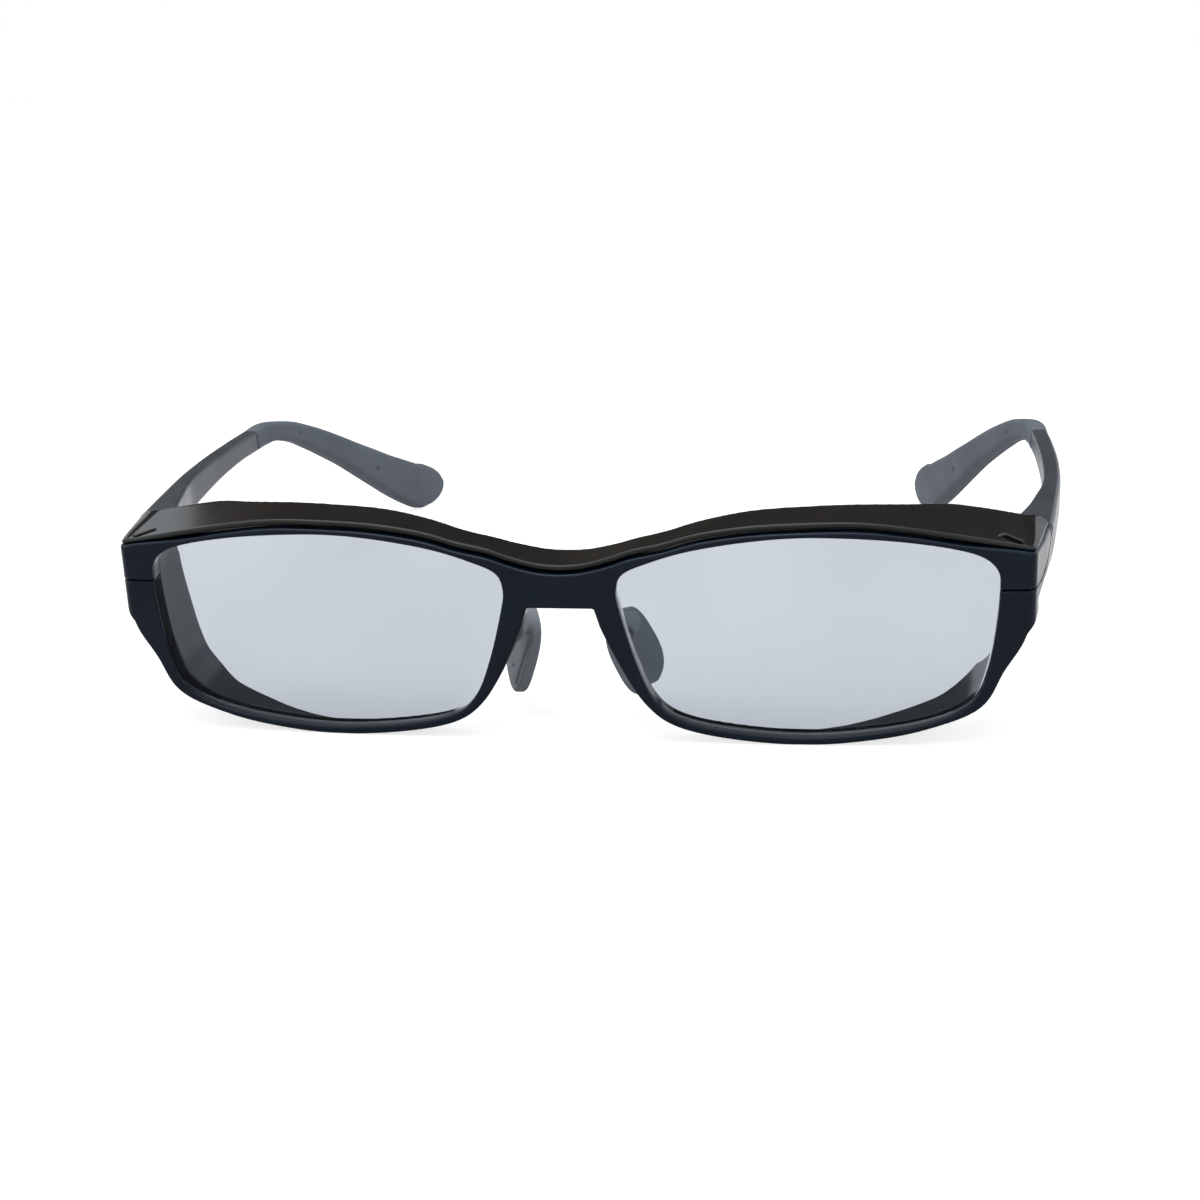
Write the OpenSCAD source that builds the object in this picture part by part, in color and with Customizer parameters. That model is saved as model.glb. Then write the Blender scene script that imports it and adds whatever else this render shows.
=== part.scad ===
// Eye guard worn like spectacles: full rims, a brow visor with side and lower shields, soft nose
// pads and folding temples with rubber tips. It stands on its rims and tips with the temples open.
// Millimetres. X is to the right seen from the front, Y runs back towards the face, Z is up.
// The side arguments are -1 for the left half seen from the front and 1 for the right half.

/* [Front] */
// Width of one lens opening
lens_open_w = 56.9; // [52:0.1:62]
// Height of one lens opening
lens_open_h = 31.8; // [28:0.1:36]
// Distance between the two lens openings
bridge_w = 17.6; // [15:0.1:22]
// Height of the front at the middle of the bridge
bridge_h = 5.4; // [4:0.1:7]
// Width of the front beside a lens opening, at the endpiece
endpiece_w = 4.9; // [4:0.1:6.5]
// Height of the rim under a lens opening
rim_low_h = 1.3; // [1.2:0.05:2]
// Height of the rim above a lens opening
rim_top_h = 1.45; // [1.2:0.05:2.2]
// Width of the rim beside the nose
rim_nose_w = 3.9; // [3:0.1:5]
// Depth of the rims from front to back
rim_d = 4.3; // [3.8:0.1:6]
// Set-back of the outer corners of the front behind its middle
wrap = 2.3; // [1:0.1:5]

/* [Endpieces] */
// Length of an endpiece from the front to the joint with the temple
endpiece_l = 17.2; // [16:0.1:22]
// How far the outer face of an endpiece flares outwards over its length
endpiece_flare = 3.1; // [2:0.1:4.5]
// Width of the parting slit between the upper and lower halves of an endpiece
slit_w = 0.2; // [0.1:0.05:0.4]
// Diameter of the shank of the rim screw
rim_screw_d = 1.4; // [1:0.1:1.8]

/* [Lenses] */
// Thickness of a lens
lens_t = 1.6; // [1.2:0.1:2]
// Depth of the rim groove that holds the edge of a lens
groove_d = 0.4; // [0.3:0.05:0.5]
// Clearance between a lens and its groove
lens_gap = 0.05; // [0.02:0.01:0.1]

/* [Hood] */
// Thickness of the brow visor
visor_t = 1.2; // [0.9:0.1:1.8]
// Thickness of the side and lower shields
shield_t = 1; // [0.8:0.1:1.1]
// Depth of the brow visor behind the front, at the bridge
visor_mid_d = 9.4; // [8:0.1:13]
// Depth of the brow visor above the middle of a lens
visor_lens_d = 10.7; // [9:0.1:13]
// Depth of the side shields behind the front
shield_d = 14; // [10:0.1:15]
// Length of the latch slot near each end of the visor
slot_l = 3.4; // [2.8:0.1:4.2]
// Width of the latch slot
slot_w = 1.6; // [1.2:0.1:2]

/* [Nose pads] */
// Height of a nose pad
pad_h = 15; // [13:0.1:19]
// Width of a nose pad
pad_w = 10.6; // [8:0.1:11.5]
// Thickness of a nose pad
pad_t = 2.3; // [1.6:0.1:2.8]
// Diameter of the post that carries a nose pad
post_d = 2; // [1.5:0.1:2.6]
// Diameter of the moulding dimple in a nose pad and in a temple tip
dimple_d = 1; // [0.6:0.1:1.4]

/* [Hinges] */
// Diameter of the hinge barrels
barrel_d = 2.6; // [2.2:0.1:3]
// Diameter of the hinge screw
hinge_screw_d = 1.2; // [1:0.1:1.4]
// Height of the three hinge barrels together
barrel_h = 4.6; // [4:0.1:5]
// Thickness of the hinge leaves
leaf_t = 0.8; // [0.6:0.1:1]
// Running clearance of the hinge screw in its bores, on the radius
screw_gap = 0.05; // [0.02:0.01:0.1]

/* [Temples] */
// Distance from the front to the far end of the temple tips
overall_l = 140; // [130:0.5:150]
// Distance from the front to the start of the rubber tips
tip_start = 78; // [70:0.5:84]
// Distance of the outer face of the temples from the middle at their widest
temple_half_w = 77.6; // [76:0.1:83]
// Distance of the far end of the temple tips from the middle
tip_half_w = 54.6; // [48:0.1:60]
// Height of a temple at the hinge
temple_root_h = 5.8; // [5.6:0.1:6.5]
// Height of a temple where the rubber tip starts
temple_end_h = 4.1; // [3.6:0.1:5]
// Thickness of a temple behind its root
temple_t = 2.9; // [2.4:0.1:3.5]
// Thickness of a rubber tip
tip_t = 3.2; // [2.8:0.1:4]
// Height of the paddle at the end of a rubber tip
paddle_h = 10.8; // [9:0.1:12]
// Height of the metal core in a rubber tip
core_h = 1.8; // [1.4:0.1:2.2]
// Thickness of the metal core in a rubber tip
core_t = 1.2; // [0.9:0.1:1.4]

/* [Hidden] */
$fn = 48;

// Joints, seats and levels that follow from the sizes above
flat_cut = 0.1;
seat_gap = 0.05;
open_x0 = bridge_w / 2;
open_x1 = open_x0 + lens_open_w;
open_z0 = rim_low_h - flat_cut;
open_z1 = open_z0 + lens_open_h;
half_w = open_x1 + endpiece_w;
brow_z = open_z1 + rim_top_h;
end_z = brow_z - 3.85;
arch_z = open_z0 + lens_open_h - 11.3;
wrap_r = (half_w * half_w + wrap * wrap) / (2 * wrap);
lip_d = 0.9;
tall = 60;

// Lens outline from the outer side, down, along the bottom to the nose and back over the top.
// Each point is a share of the opening's width and height, and the rim's width outside it.
LENS_SHAPE = [
    [0.993, 0.558, endpiece_w - 0.3], [0.975, 0.353, endpiece_w - 2.5],
    [0.940, 0.199, rim_low_h + 0.45], [0.856, 0.098, rim_low_h - 0.3],
    [0.715, 0.035, rim_low_h - 0.15], [0.513, 0.000, rim_low_h],
    [0.316, 0.022, rim_low_h], [0.167, 0.079, rim_low_h],
    [0.093, 0.186, rim_low_h + 0.3], [0.046, 0.382, rim_nose_w - 1.3],
    [0.007, 0.637, rim_nose_w], [0.000, 0.735, rim_nose_w],
    [0.018, 0.817, rim_nose_w], [0.086, 0.874, rim_top_h],
    [0.197, 0.934, rim_top_h], [0.355, 0.981, rim_top_h],
    [0.513, 1.000, rim_top_h], [0.713, 0.984, rim_top_h],
    [0.868, 0.946, rim_top_h], [0.953, 0.902, rim_top_h],
    [0.993, 0.836, rim_top_h], [1.000, 0.745, rim_top_h]];
lower_out = 0;
nose_at = 10;
top_outer_at = 18;
outer_at = 21;
steps = 4;

// Top edge of the front from the middle outwards
BROW = [
    [0, arch_z + bridge_h], [0.42 * open_x0, arch_z + bridge_h + 0.25],
    [0.9 * open_x0, arch_z + bridge_h + 1.45], [1.3 * open_x0, arch_z + bridge_h + 2.75],
    [open_x0 + 0.127 * lens_open_w, brow_z - 3.2], [open_x0 + 0.223 * lens_open_w, brow_z - 1.65],
    [open_x0 + 0.355 * lens_open_w, brow_z - 0.55], [open_x0 + 0.496 * lens_open_w, brow_z - 0.1],
    [open_x0 + 0.636 * lens_open_w, brow_z - 0.05], [open_x0 + 0.759 * lens_open_w, brow_z - 0.8],
    [open_x0 + 0.872 * lens_open_w, brow_z - 1.85], [open_x0 + 0.97 * lens_open_w, brow_z - 2.85],
    [half_w - 1, end_z]];

// Point on the smooth curve between b and c
function between(a, b, c, d, t) = 0.5 * (2 * b + (c - a) * t + (2 * a - 5 * b + 4 * c - d) * t * t
    + (3 * b - a - 3 * c + d) * t * t * t);
function smooth(p, n) = let (m = len(p)) concat(
    [for (i = [0 : m - 2]) for (k = [0 : n - 1])
        between(p[max(i - 1, 0)], p[i], p[i + 1], p[min(i + 2, m - 1)], k / n)],
    [p[m - 1]]);
function smooth_loop(p, n) = let (m = len(p))
    [for (i = [0 : m - 1]) for (k = [0 : n - 1])
        between(p[(i + m - 1) % m], p[i], p[(i + 1) % m], p[(i + 2) % m], k / n)];
function backwards(p) = [for (i = [len(p) - 1 : -1 : 0]) p[i]];
function shifted(p, d) = [for (q = p) q + d];
function at(p, x) = lookup(x, p);

// Outline of a lens opening and its outward direction at each point
lens_curve = smooth_loop([for (s = LENS_SHAPE)
    [open_x0 + s[0] * lens_open_w, open_z0 + s[1] * lens_open_h, s[2]]], steps);
curve_n = len(lens_curve);
function outward(i) = let (a = lens_curve[(i + curve_n - 1) % curve_n],
    b = lens_curve[(i + 1) % curve_n], d = [b[0] - a[0], b[1] - a[1]]) [-d[1], d[0]] / norm(d);
function grown(i, g) = let (k = i % curve_n) [lens_curve[k][0], lens_curve[k][1]] + g * outward(k);
function opening(g) = [for (i = [0 : curve_n - 1]) grown(i, g)];
function opening_part(from, to, g) = [for (i = [from * steps : to * steps]) grown(i, g)];

brow_curve = smooth(BROW, steps);
brow_out = concat(brow_curve, [[half_w + endpiece_flare + 4, end_z]]);
rim_curve = [for (i = [lower_out * steps : nose_at * steps]) grown(i, lens_curve[i][2])];

// Endpieces, slit and hinge
endpiece_h = 10.9;
endpiece_in = open_x1 + seat_gap + shield_t + 0.65;
joint_gap = 0.2;
latch_turn = 56;
slit_z = end_z - 5.8;
lap_x = endpiece_in + 3.1;
lap_y = endpiece_l / 2;
lap_curve = smooth([[lap_y, slit_z], [lap_y + 3, slit_z + 1.1], [lap_y + 5.2, slit_z + 2.8],
    [lap_y + 6.8, slit_z + 4.1], [lap_y + 7.7, end_z + 0.2]], steps);
rim_screw_at = [endpiece_in + 1.7, endpiece_l * 0.4];
rim_screw_head = [rim_screw_d + 1.2, 1];
rim_screw_z = end_z - 9.4;
rim_screw_l = 7.2;
pivot = [endpiece_in + 0.6, endpiece_l + joint_gap / 2];
hinge_z = end_z - 0.4 - barrel_h;
barrel_gap = 0.1;
barrel_each = (barrel_h - 2 * barrel_gap) / 3;
relief_r = barrel_d / 2 + 0.2;
leaf_l = 5.2;
rivet_d = 1;
rivet_head_d = 1.8;
rivet_head_h = 0.3;
rivet_l = 2.2;
screw_head_h = 0.35;

// Outer face of endpiece and temple, from the front backwards
root_y = endpiece_l + joint_gap;
root_x = half_w + 0.4 + endpiece_flare;
OUTER = [[half_w, 0], [half_w + 0.4, wrap + 0.9], [half_w + 0.4 + 0.36 * endpiece_flare, endpiece_l * 0.48],
    [half_w + 0.4 + 0.66 * endpiece_flare, endpiece_l * 0.71], [root_x - 0.02, endpiece_l]];
TEMPLE_OUT = [[root_x, root_y], [root_x + 0.24 * (temple_half_w - root_x), root_y + 6.6],
    [root_x + 0.49 * (temple_half_w - root_x), root_y + 14.6],
    [temple_half_w - 0.5, root_y + 27.6], [temple_half_w, root_y + 40.6],
    [temple_half_w - 0.2, tip_start - 8], [temple_half_w - 0.6, tip_start]];
inner_x = temple_half_w - temple_t;
TEMPLE_IN = [[pivot[0] + 0.4, root_y], [pivot[0] + 0.6, root_y + 3.6], [pivot[0] + 1.6, root_y + 7.1],
    [pivot[0] + 3.1, root_y + 12], [inner_x - 2.3, root_y + 17.6], [inner_x - 1, root_y + 23.6],
    [inner_x - 0.3, root_y + 30.6], [inner_x, root_y + 40.6],
    [inner_x - 0.2, tip_start - 8], [inner_x - 0.6, tip_start]];
temple_top = [[root_y, end_z], [tip_start, end_z]];
temple_low = smooth([[root_y, end_z - temple_root_h], [root_y + 13, end_z - temple_root_h + 0.05],
    [root_y + 28, end_z - 0.85 * temple_root_h - 0.15 * temple_end_h],
    [root_y + 43, end_z - 0.25 * temple_root_h - 0.75 * temple_end_h],
    [tip_start - 8, end_z - temple_end_h], [tip_start, end_z - temple_end_h]], steps);

// A tip from its start backwards. Each row is a share of its length, the height of its lower edge
// as a share of the height at the start, and how far its own height has grown to the paddle's.
tip_low = end_z - temple_end_h;
tip_l = overall_l - tip_start;
function tip_y(t) = tip_start + t * tip_l;
TIP_SHAPE = [[0, 1, 0], [0.081, 1, 0.02], [0.145, 0.995, -0.02], [0.226, 0.938, 0.03],
    [0.29, 0.853, 0.12], [0.355, 0.755, 0.22], [0.435, 0.63, 0.32], [0.516, 0.49, 0.46],
    [0.597, 0.351, 0.62], [0.677, 0.217, 0.76], [0.758, 0.098, 0.88], [0.831, 0.008, 0.92],
    [0.863, 0, 0.88]];
tip_curve = [for (p = smooth(TIP_SHAPE, steps)) let (low = max(0, p[1]) * tip_low)
    [tip_y(p[0]), low, low + temple_end_h + p[2] * (paddle_h - temple_end_h)]];
TIP_END = [[tip_y(0.863), 0.92], [tip_y(0.925), 0.75], [tip_y(0.965), 0.6], [tip_y(0.987), 0.46],
    [overall_l, 0.34], [tip_y(0.99), 0.17], [tip_y(0.96), 0.056], [tip_y(0.911), 0], [tip_y(0.88), 0]];
core_from = tip_start - 14;
core_to = tip_y(0.75);
core_gap = 0.08;
temple_mid = temple_half_w - temple_t / 2;
function bow(k) = tip_half_w + k * (temple_half_w - tip_half_w);
PLAN_LINE = [[core_from - 4, temple_mid], [tip_start - 8, temple_mid - 0.2],
    [tip_start, temple_mid - 0.6], [tip_y(0.081), bow(0.895)],
    [tip_y(0.161), bow(0.84)], [tip_y(0.242), bow(0.753)], [tip_y(0.355), bow(0.616)],
    [tip_y(0.484), bow(0.467)], [tip_y(0.613), bow(0.33)], [tip_y(0.742), bow(0.203)],
    [tip_y(0.871), bow(0.087)], [overall_l + 0.1, bow(0)]];
plan_curve = smooth(PLAN_LINE, steps);
dimple_at = [tip_y(0.592), 0.36 * tip_low + 0.44 * paddle_h];

// Nose pads
pad_at = [open_x0 + 0.35, rim_d + 10.5, arch_z - 11.8];
pad_splay = 63;
pad_lean = 20.6;
pad_tilt = 19;
post_at = [open_x0 + 0.1, arch_z - 6.1];
post_end = rim_d + 8.3;
boss_d = post_d + 1.6;

module half(side) {
    if (side > 0) {
        children();
    } else {
        mirror([1, 0, 0]) children();
    }
}

// Puts the model's origin under the middle of its length
module placed() {
    translate([0, -overall_l / 2, 0]) children();
}

// Extrusions of an outline seen from the front, of one seen from the side and of one seen from above
module from_front(y0, y1) {
    translate([0, y1, 0]) rotate([90, 0, 0]) linear_extrude(y1 - y0) children();
}
module from_side(x0, x1) {
    translate([x0, 0, 0]) rotate([90, 0, 90]) linear_extrude(x1 - x0) children();
}
module from_above(z0, z1) {
    translate([0, 0, z0]) linear_extrude(z1 - z0) children();
}

// Everything further back than a depth behind the curved front
function arc(depth) = [for (i = [-18 : 18]) let (a = i * 1.05 * asin((half_w + 8) / wrap_r) / 18)
    [(wrap_r - depth) * sin(a), wrap_r - (wrap_r - depth) * cos(a)]];
module behind(depth) {
    from_above(-1, tall) polygon(concat(arc(depth), [[half_w + 12, 30], [-half_w - 12, 30]]));
}

// A plate between two depths behind the curved front
module curved_plate(d0, d1) {
    intersection() {
        from_front(-1, wrap + rim_d + 3) children();
        from_above(-1, tall) polygon(concat(arc(d0), backwards(arc(d1))));
    }
}

module front_outline() {
    half_outline = concat(brow_curve,
        [[half_w - 0.3, end_z - 0.6], [half_w, end_z - 2.5], [half_w + 0.3, end_z - 6.5],
         [half_w + 0.5, end_z - 9.2], [half_w + 0.3, end_z - endpiece_h]],
        rim_curve,
        [[open_x0 - rim_nose_w + 0.35, arch_z]]);
    polygon(concat(half_outline, [for (i = [len(half_outline) - 1 : -1 : 1])
        [-half_outline[i][0], half_outline[i][1]]]));
}

module endpiece(side) {
    half(side) intersection() {
        from_above(0, end_z - seat_gap)
            polygon(concat([[endpiece_in, wrap + rim_d - 1.5]],
                [for (p = smooth(OUTER, steps)) if (p[1] > wrap + 0.7) p],
                [[endpiece_in, endpiece_l]]));
        from_side(0, half_w + 12)
            polygon([[wrap, end_z], [wrap, end_z - endpiece_h], [wrap + 3, end_z - endpiece_h + 0.3],
                [endpiece_l * 0.47, end_z - endpiece_h + 0.7],
                [endpiece_l * 0.7, end_z - 0.5 * (endpiece_h + temple_root_h)],
                [endpiece_l * 0.88, end_z - temple_root_h - 0.3],
                [endpiece_l, end_z - temple_root_h], [endpiece_l, end_z]]);
    }
}

// The parting between the upper and lower halves of an endpiece, lapped behind the rim screw
module slit(side) {
    s = slit_w / 2;
    half(side) {
        translate([open_x1 - 3, -1, slit_z - s]) cube([lap_x + s - open_x1 + 3, endpiece_l + 3, slit_w]);
        translate([lap_x, -1, slit_z - s]) cube([12, lap_y + 1 + s, slit_w]);
        from_side(lap_x - s, lap_x + s)
            polygon(concat(lap_curve, [[endpiece_l + 1, end_z + 0.2], [endpiece_l + 1, slit_z - s],
                [lap_y, slit_z - s]]));
        from_side(lap_x, lap_x + 12)
            polygon(concat(shifted(lap_curve, [-0.7 * s, 0.7 * s]),
                backwards(shifted(lap_curve, [0.7 * s, -0.7 * s]))));
    }
}

// Latch rib of the frame, or with room around it the slot for it in the visor
module latch(side, l, w, z0, z1) {
    half(side) translate([endpiece_in, wrap + lip_d + 2.2, z0]) rotate([0, 0, latch_turn])
        translate([-w / 2, -l / 2, 0]) cube([w, l, z1 - z0]);
}

module nose_post(side) {
    half(side) translate([post_at[0], rim_d - 1.5, post_at[1]]) rotate([-90, 0, 0])
        cylinder(d = post_d, h = post_end - rim_d + 1.5);
}

module rim_screw_room(side) {
    half(side) translate([rim_screw_at[0], rim_screw_at[1], 0]) {
        cylinder(d = rim_screw_d + 2 * screw_gap, h = rim_screw_z + rim_screw_l + 0.3);
        cylinder(d = rim_screw_head[0] + 0.2, h = rim_screw_z + rim_screw_head[1]);
    }
}

module rim_screw(side) {
    color("silver") placed() half(side) translate([rim_screw_at[0], rim_screw_at[1], rim_screw_z])
        difference() {
            union() {
                cylinder(d = rim_screw_d, h = rim_screw_l);
                cylinder(d = rim_screw_head[0], h = rim_screw_head[1]);
            }
            translate([-rim_screw_head[0], -0.15, -1]) cube([2 * rim_screw_head[0], 0.3, 1.4]);
        }
}

module front_leaf(side, grow) {
    half(side) translate([pivot[0] - leaf_t / 2 - grow, pivot[1] - 0.9 - leaf_l - grow, hinge_z - grow])
        cube([leaf_t + 2 * grow, leaf_l + 2 * grow, barrel_h + 2 * grow]);
}

module temple_leaf(side, grow) {
    half(side) translate([pivot[0] + 0.5 - grow, pivot[1] + relief_r - grow, hinge_z - grow])
        cube([leaf_t + 2 * grow, leaf_l + 0.2 + 2 * grow, barrel_h + 2 * grow]);
}

// Web from the middle barrel to the temple's leaf
module temple_web(side, grow) {
    half(side) translate([pivot[0], pivot[1], hinge_z + barrel_each + barrel_gap - grow])
        cube([0.5 + leaf_t + grow, relief_r + 0.8, barrel_each + 2 * grow]);
}

module relief(side, r) {
    half(side) translate([pivot[0], pivot[1], 0]) cylinder(r = r, h = tall);
}

module front_frame() {
    color([0.11, 0.13, 0.17]) placed() difference() {
        union() {
            difference() {
                curved_plate(0, rim_d) front_outline();
                for (side = [-1, 1]) {
                    half(side) from_front(-2, wrap + rim_d + 4) polygon(opening(0));
                    half(side) curved_plate(lip_d + 0.3, lip_d + 0.3 + lens_t + 2 * lens_gap)
                        polygon(opening(groove_d));
                }
            }
            for (side = [-1, 1]) {
                endpiece(side);
                nose_post(side);
                latch(side, slot_l - 0.5, slot_w - 0.4, end_z - 2, end_z + 0.35 * visor_t);
            }
        }
        for (side = [-1, 1]) {
            slit(side);
            rim_screw_room(side);
            front_leaf(side, seat_gap);
            half(side) translate([endpiece_in - 1, pivot[1] - 0.9 - leaf_l - seat_gap, hinge_z - seat_gap])
                cube([1.2, leaf_l + 3, barrel_h + 2 * seat_gap]);
            relief(side, relief_r);
            rivets(side, front_rivets(), seat_gap);
        }
        translate([-half_w, -2, -2]) cube([2 * half_w, 20, 2]);
    }
}

module lens(side) {
    color([0.8, 0.85, 0.88, 0.4]) placed() half(side)
        curved_plate(lip_d + 0.3 + lens_gap, lip_d + 0.3 + lens_gap + lens_t)
            polygon(opening(groove_d - lens_gap));
}

// Rear edge of the brow visor from the middle outwards
VISOR_BACK = [[0, visor_mid_d], [0.7 * open_x0, visor_mid_d - 0.9], [1.5 * open_x0, visor_mid_d - 2.4],
    [open_x0 + 0.2 * lens_open_w, visor_mid_d - 2.1], [open_x0 + 0.34 * lens_open_w, visor_lens_d - 1.9],
    [open_x0 + 0.48 * lens_open_w, visor_lens_d - 1.1], [open_x0 + 0.636 * lens_open_w, visor_lens_d],
    [open_x0 + 0.76 * lens_open_w, 0.6 * visor_lens_d + 0.4 * endpiece_l],
    [open_x0 + 0.865 * lens_open_w, endpiece_l - 0.7], [open_x0 + 0.95 * lens_open_w, endpiece_l - 0.1]];

// Rear edge of the lower shield, as shares of the depth between the rim and the side shield
SHIELD_BACK = [[0.478, 0], [0.566, 0.1], [0.654, 0.28], [0.742, 0.55], [0.817, 0.76],
    [0.882, 0.91], [0.953, 1], [1.1, 1]];

module visor() {
    band = concat(shifted(brow_out, [0, seat_gap]), backwards(shifted(brow_out, [0, seat_gap + visor_t])));
    back = smooth(VISOR_BACK, steps);
    side_edge = shifted([for (p = smooth(OUTER, steps)) if (p[1] > wrap) p], [-0.2, 0]);
    plan = concat([[-1, 0], [half_w - 0.2, 0]], side_edge, backwards(back), [[-1, visor_mid_d]]);
    for (side = [-1, 1]) {
        half(side) intersection() {
            from_front(0, endpiece_l + 2)
                polygon(concat([[-1, band[0][1]]], band, [[-1, band[0][1] + visor_t]]));
            from_above(0, tall) polygon(plan);
            behind(lip_d);
        }
    }
}

module shields(side) {
    start = wrap + rim_d;
    half(side) intersection() {
        union() {
            from_front(0, shield_d + 4)
                polygon(concat(opening_part(top_outer_at, outer_at + 6, seat_gap + 0.1),
                    backwards(opening_part(top_outer_at, outer_at + 6, seat_gap + 0.1 + shield_t))));
            from_front(0, shield_d + 4)
                polygon(concat(opening_part(top_outer_at, outer_at, seat_gap + 0.1),
                    [[endpiece_in - 0.3, at(brow_out, endpiece_in) + 0.4]],
                    backwards([for (p = brow_out)
                        if (p[0] > open_x0 + 0.87 * lens_open_w && p[0] < endpiece_in - 0.5) p + [0, 0.4]])));
        }
        from_above(0, tall)
            polygon(concat([[half_w, 0], [0, 0]],
                [for (s = smooth(SHIELD_BACK, steps))
                    [open_x0 + s[0] * lens_open_w, start - 1.6 + s[1] * (shield_d - start + 1.6)]]));
        behind(rim_d + seat_gap);
    }
}

module hood() {
    color([0.2, 0.19, 0.18]) placed() difference() {
        union() {
            visor();
            for (side = [-1, 1]) shields(side);
        }
        for (side = [-1, 1]) latch(side, slot_l, slot_w, end_z - 3, end_z + 4);
    }
}

// Pad plate against the wearer's nose, with a socket boss on its front for the post
module in_pad(side) {
    half(side) translate(pad_at) rotate([0, -pad_lean, 0]) rotate([pad_tilt, 0, 0])
        rotate([90, 0, pad_splay]) children();
}

module nose_pad(side) {
    petal = [for (k = [0 : 47]) let (a = 7.5 * k, c = cos(a), d = sin(a),
        r = 1 / pow(pow(abs(c), 2.8) + pow(abs(d), 2.8), 1 / 2.8))
        [pad_w / 2 * r * c * (1 - 0.05 * r * d), pad_h / 2 * r * d]];
    color([0.34, 0.36, 0.39]) placed() difference() {
        union() {
            in_pad(side) translate([0, 0, -pad_t / 2]) linear_extrude(pad_t) polygon(petal);
            half(side) translate([post_at[0], rim_d + 2.2, post_at[1]]) rotate([-90, 0, 0])
                cylinder(d = boss_d, h = post_end - rim_d - 1.8);
        }
        half(side) translate([post_at[0], 0, post_at[1]]) rotate([-90, 0, 0])
            cylinder(d = post_d + 0.1, h = post_end + 0.1);
        in_pad(side) translate([-0.8, -0.24 * pad_h, pad_t / 2 - 0.7]) cylinder(d = dimple_d, h = 1);
    }
}

// The three barrels from the bottom: 0 and 2 belong to the endpiece, 1 to the temple
module barrel(side, k) {
    half(side) translate([pivot[0], pivot[1], hinge_z + k * (barrel_each + barrel_gap)])
        cylinder(d = barrel_d, h = barrel_each);
}

module hinge_bore(side) {
    half(side) translate([pivot[0], pivot[1], 0]) cylinder(d = hinge_screw_d + 2 * screw_gap, h = tall);
}

module hinge_front(side) {
    mid_z = hinge_z + barrel_each;
    color("silver") placed() difference() {
        union() {
            front_leaf(side, 0);
            barrel(side, 0);
            barrel(side, 2);
        }
        half(side) translate([pivot[0], pivot[1], mid_z])
            cylinder(r = relief_r, h = barrel_each + 2 * barrel_gap);
        hinge_bore(side);
        rivets(side, front_rivets(), seat_gap);
    }
}

module hinge_temple(side) {
    color("silver") placed() difference() {
        union() {
            temple_leaf(side, 0);
            barrel(side, 1);
            temple_web(side, 0);
        }
        hinge_bore(side);
        rivets(side, temple_rivets(), seat_gap);
    }
}

module hinge_screw(side) {
    color("gray") placed() half(side) translate([pivot[0], pivot[1], hinge_z]) difference() {
        union() {
            cylinder(d = hinge_screw_d, h = barrel_h);
            translate([0, 0, barrel_h]) cylinder(d = barrel_d - 0.4, h = screw_head_h);
        }
        translate([-barrel_d, -0.15, barrel_h + screw_head_h - 0.2]) cube([2 * barrel_d, 0.3, 1]);
    }
}

// Places of the two rivets of a leaf, with the inner face that their heads lie on
function rivet_z() = hinge_z + barrel_h / 2;
function front_rivets() = [for (k = [0.25, 0.7])
    [pivot[0] - leaf_t / 2, pivot[1] - 0.9 - leaf_l + k * leaf_l, rivet_z()]];
function temple_rivets() = [for (k = [0.4, 0.82])
    [pivot[0] + 0.5, pivot[1] + relief_r + k * leaf_l, rivet_z()]];

module rivets(side, places, grow) {
    for (p = places) half(side) translate(p) rotate([0, 90, 0]) {
        translate([0, 0, -0.01]) cylinder(d = rivet_d + 2 * grow, h = leaf_t + rivet_l + grow);
        translate([0, 0, -rivet_head_h]) cylinder(d = rivet_head_d + 2 * grow, h = rivet_head_h);
    }
}

module rivets_front() {
    color("silver") placed() for (side = [-1, 1]) rivets(side, front_rivets(), 0);
}

module rivets_temple(side) {
    color("silver") placed() rivets(side, temple_rivets(), 0);
}

// Bar along the middle line of the temple and tip: a plan outline cut by a side outline
module core_shape(side, grow) {
    line = [for (p = concat([[core_from - 1, tip_low, end_z]], tip_curve)) [p[0], (p[1] + p[2]) / 2]];
    half(side) intersection() {
        from_above(0, tall) polygon(concat(
            [for (p = plan_curve) [p[1] + core_t / 2 + grow, p[0]]],
            backwards([for (p = plan_curve) [p[1] - core_t / 2 - grow, p[0]]])));
        from_side(0, temple_half_w + 10) polygon(concat(shifted(line, [0, core_h / 2 + grow]),
            backwards(shifted(line, [0, -core_h / 2 - grow]))));
        translate([0, core_from - grow, 0])
            cube([temple_half_w + 10, core_to - core_from + 2 * grow, tall]);
    }
}

module core(side) {
    color("silver") placed() core_shape(side, 0);
}

module temple(side) {
    color([0.12, 0.13, 0.15]) placed() difference() {
        half(side) intersection() {
            from_above(0, tall)
                polygon(concat(smooth(TEMPLE_OUT, steps), backwards(smooth(TEMPLE_IN, steps))));
            from_side(0, temple_half_w + 10) polygon(concat(temple_top, backwards(temple_low)));
        }
        relief(side, relief_r);
        temple_leaf(side, seat_gap);
        temple_web(side, seat_gap);
        half(side) translate([pivot[0] - 1, pivot[1], hinge_z - seat_gap])
            cube([1.6, relief_r + leaf_l + 0.2 + seat_gap, barrel_h + 2 * seat_gap]);
        rivets(side, temple_rivets(), seat_gap);
        core_shape(side, core_gap);
    }
}

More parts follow.
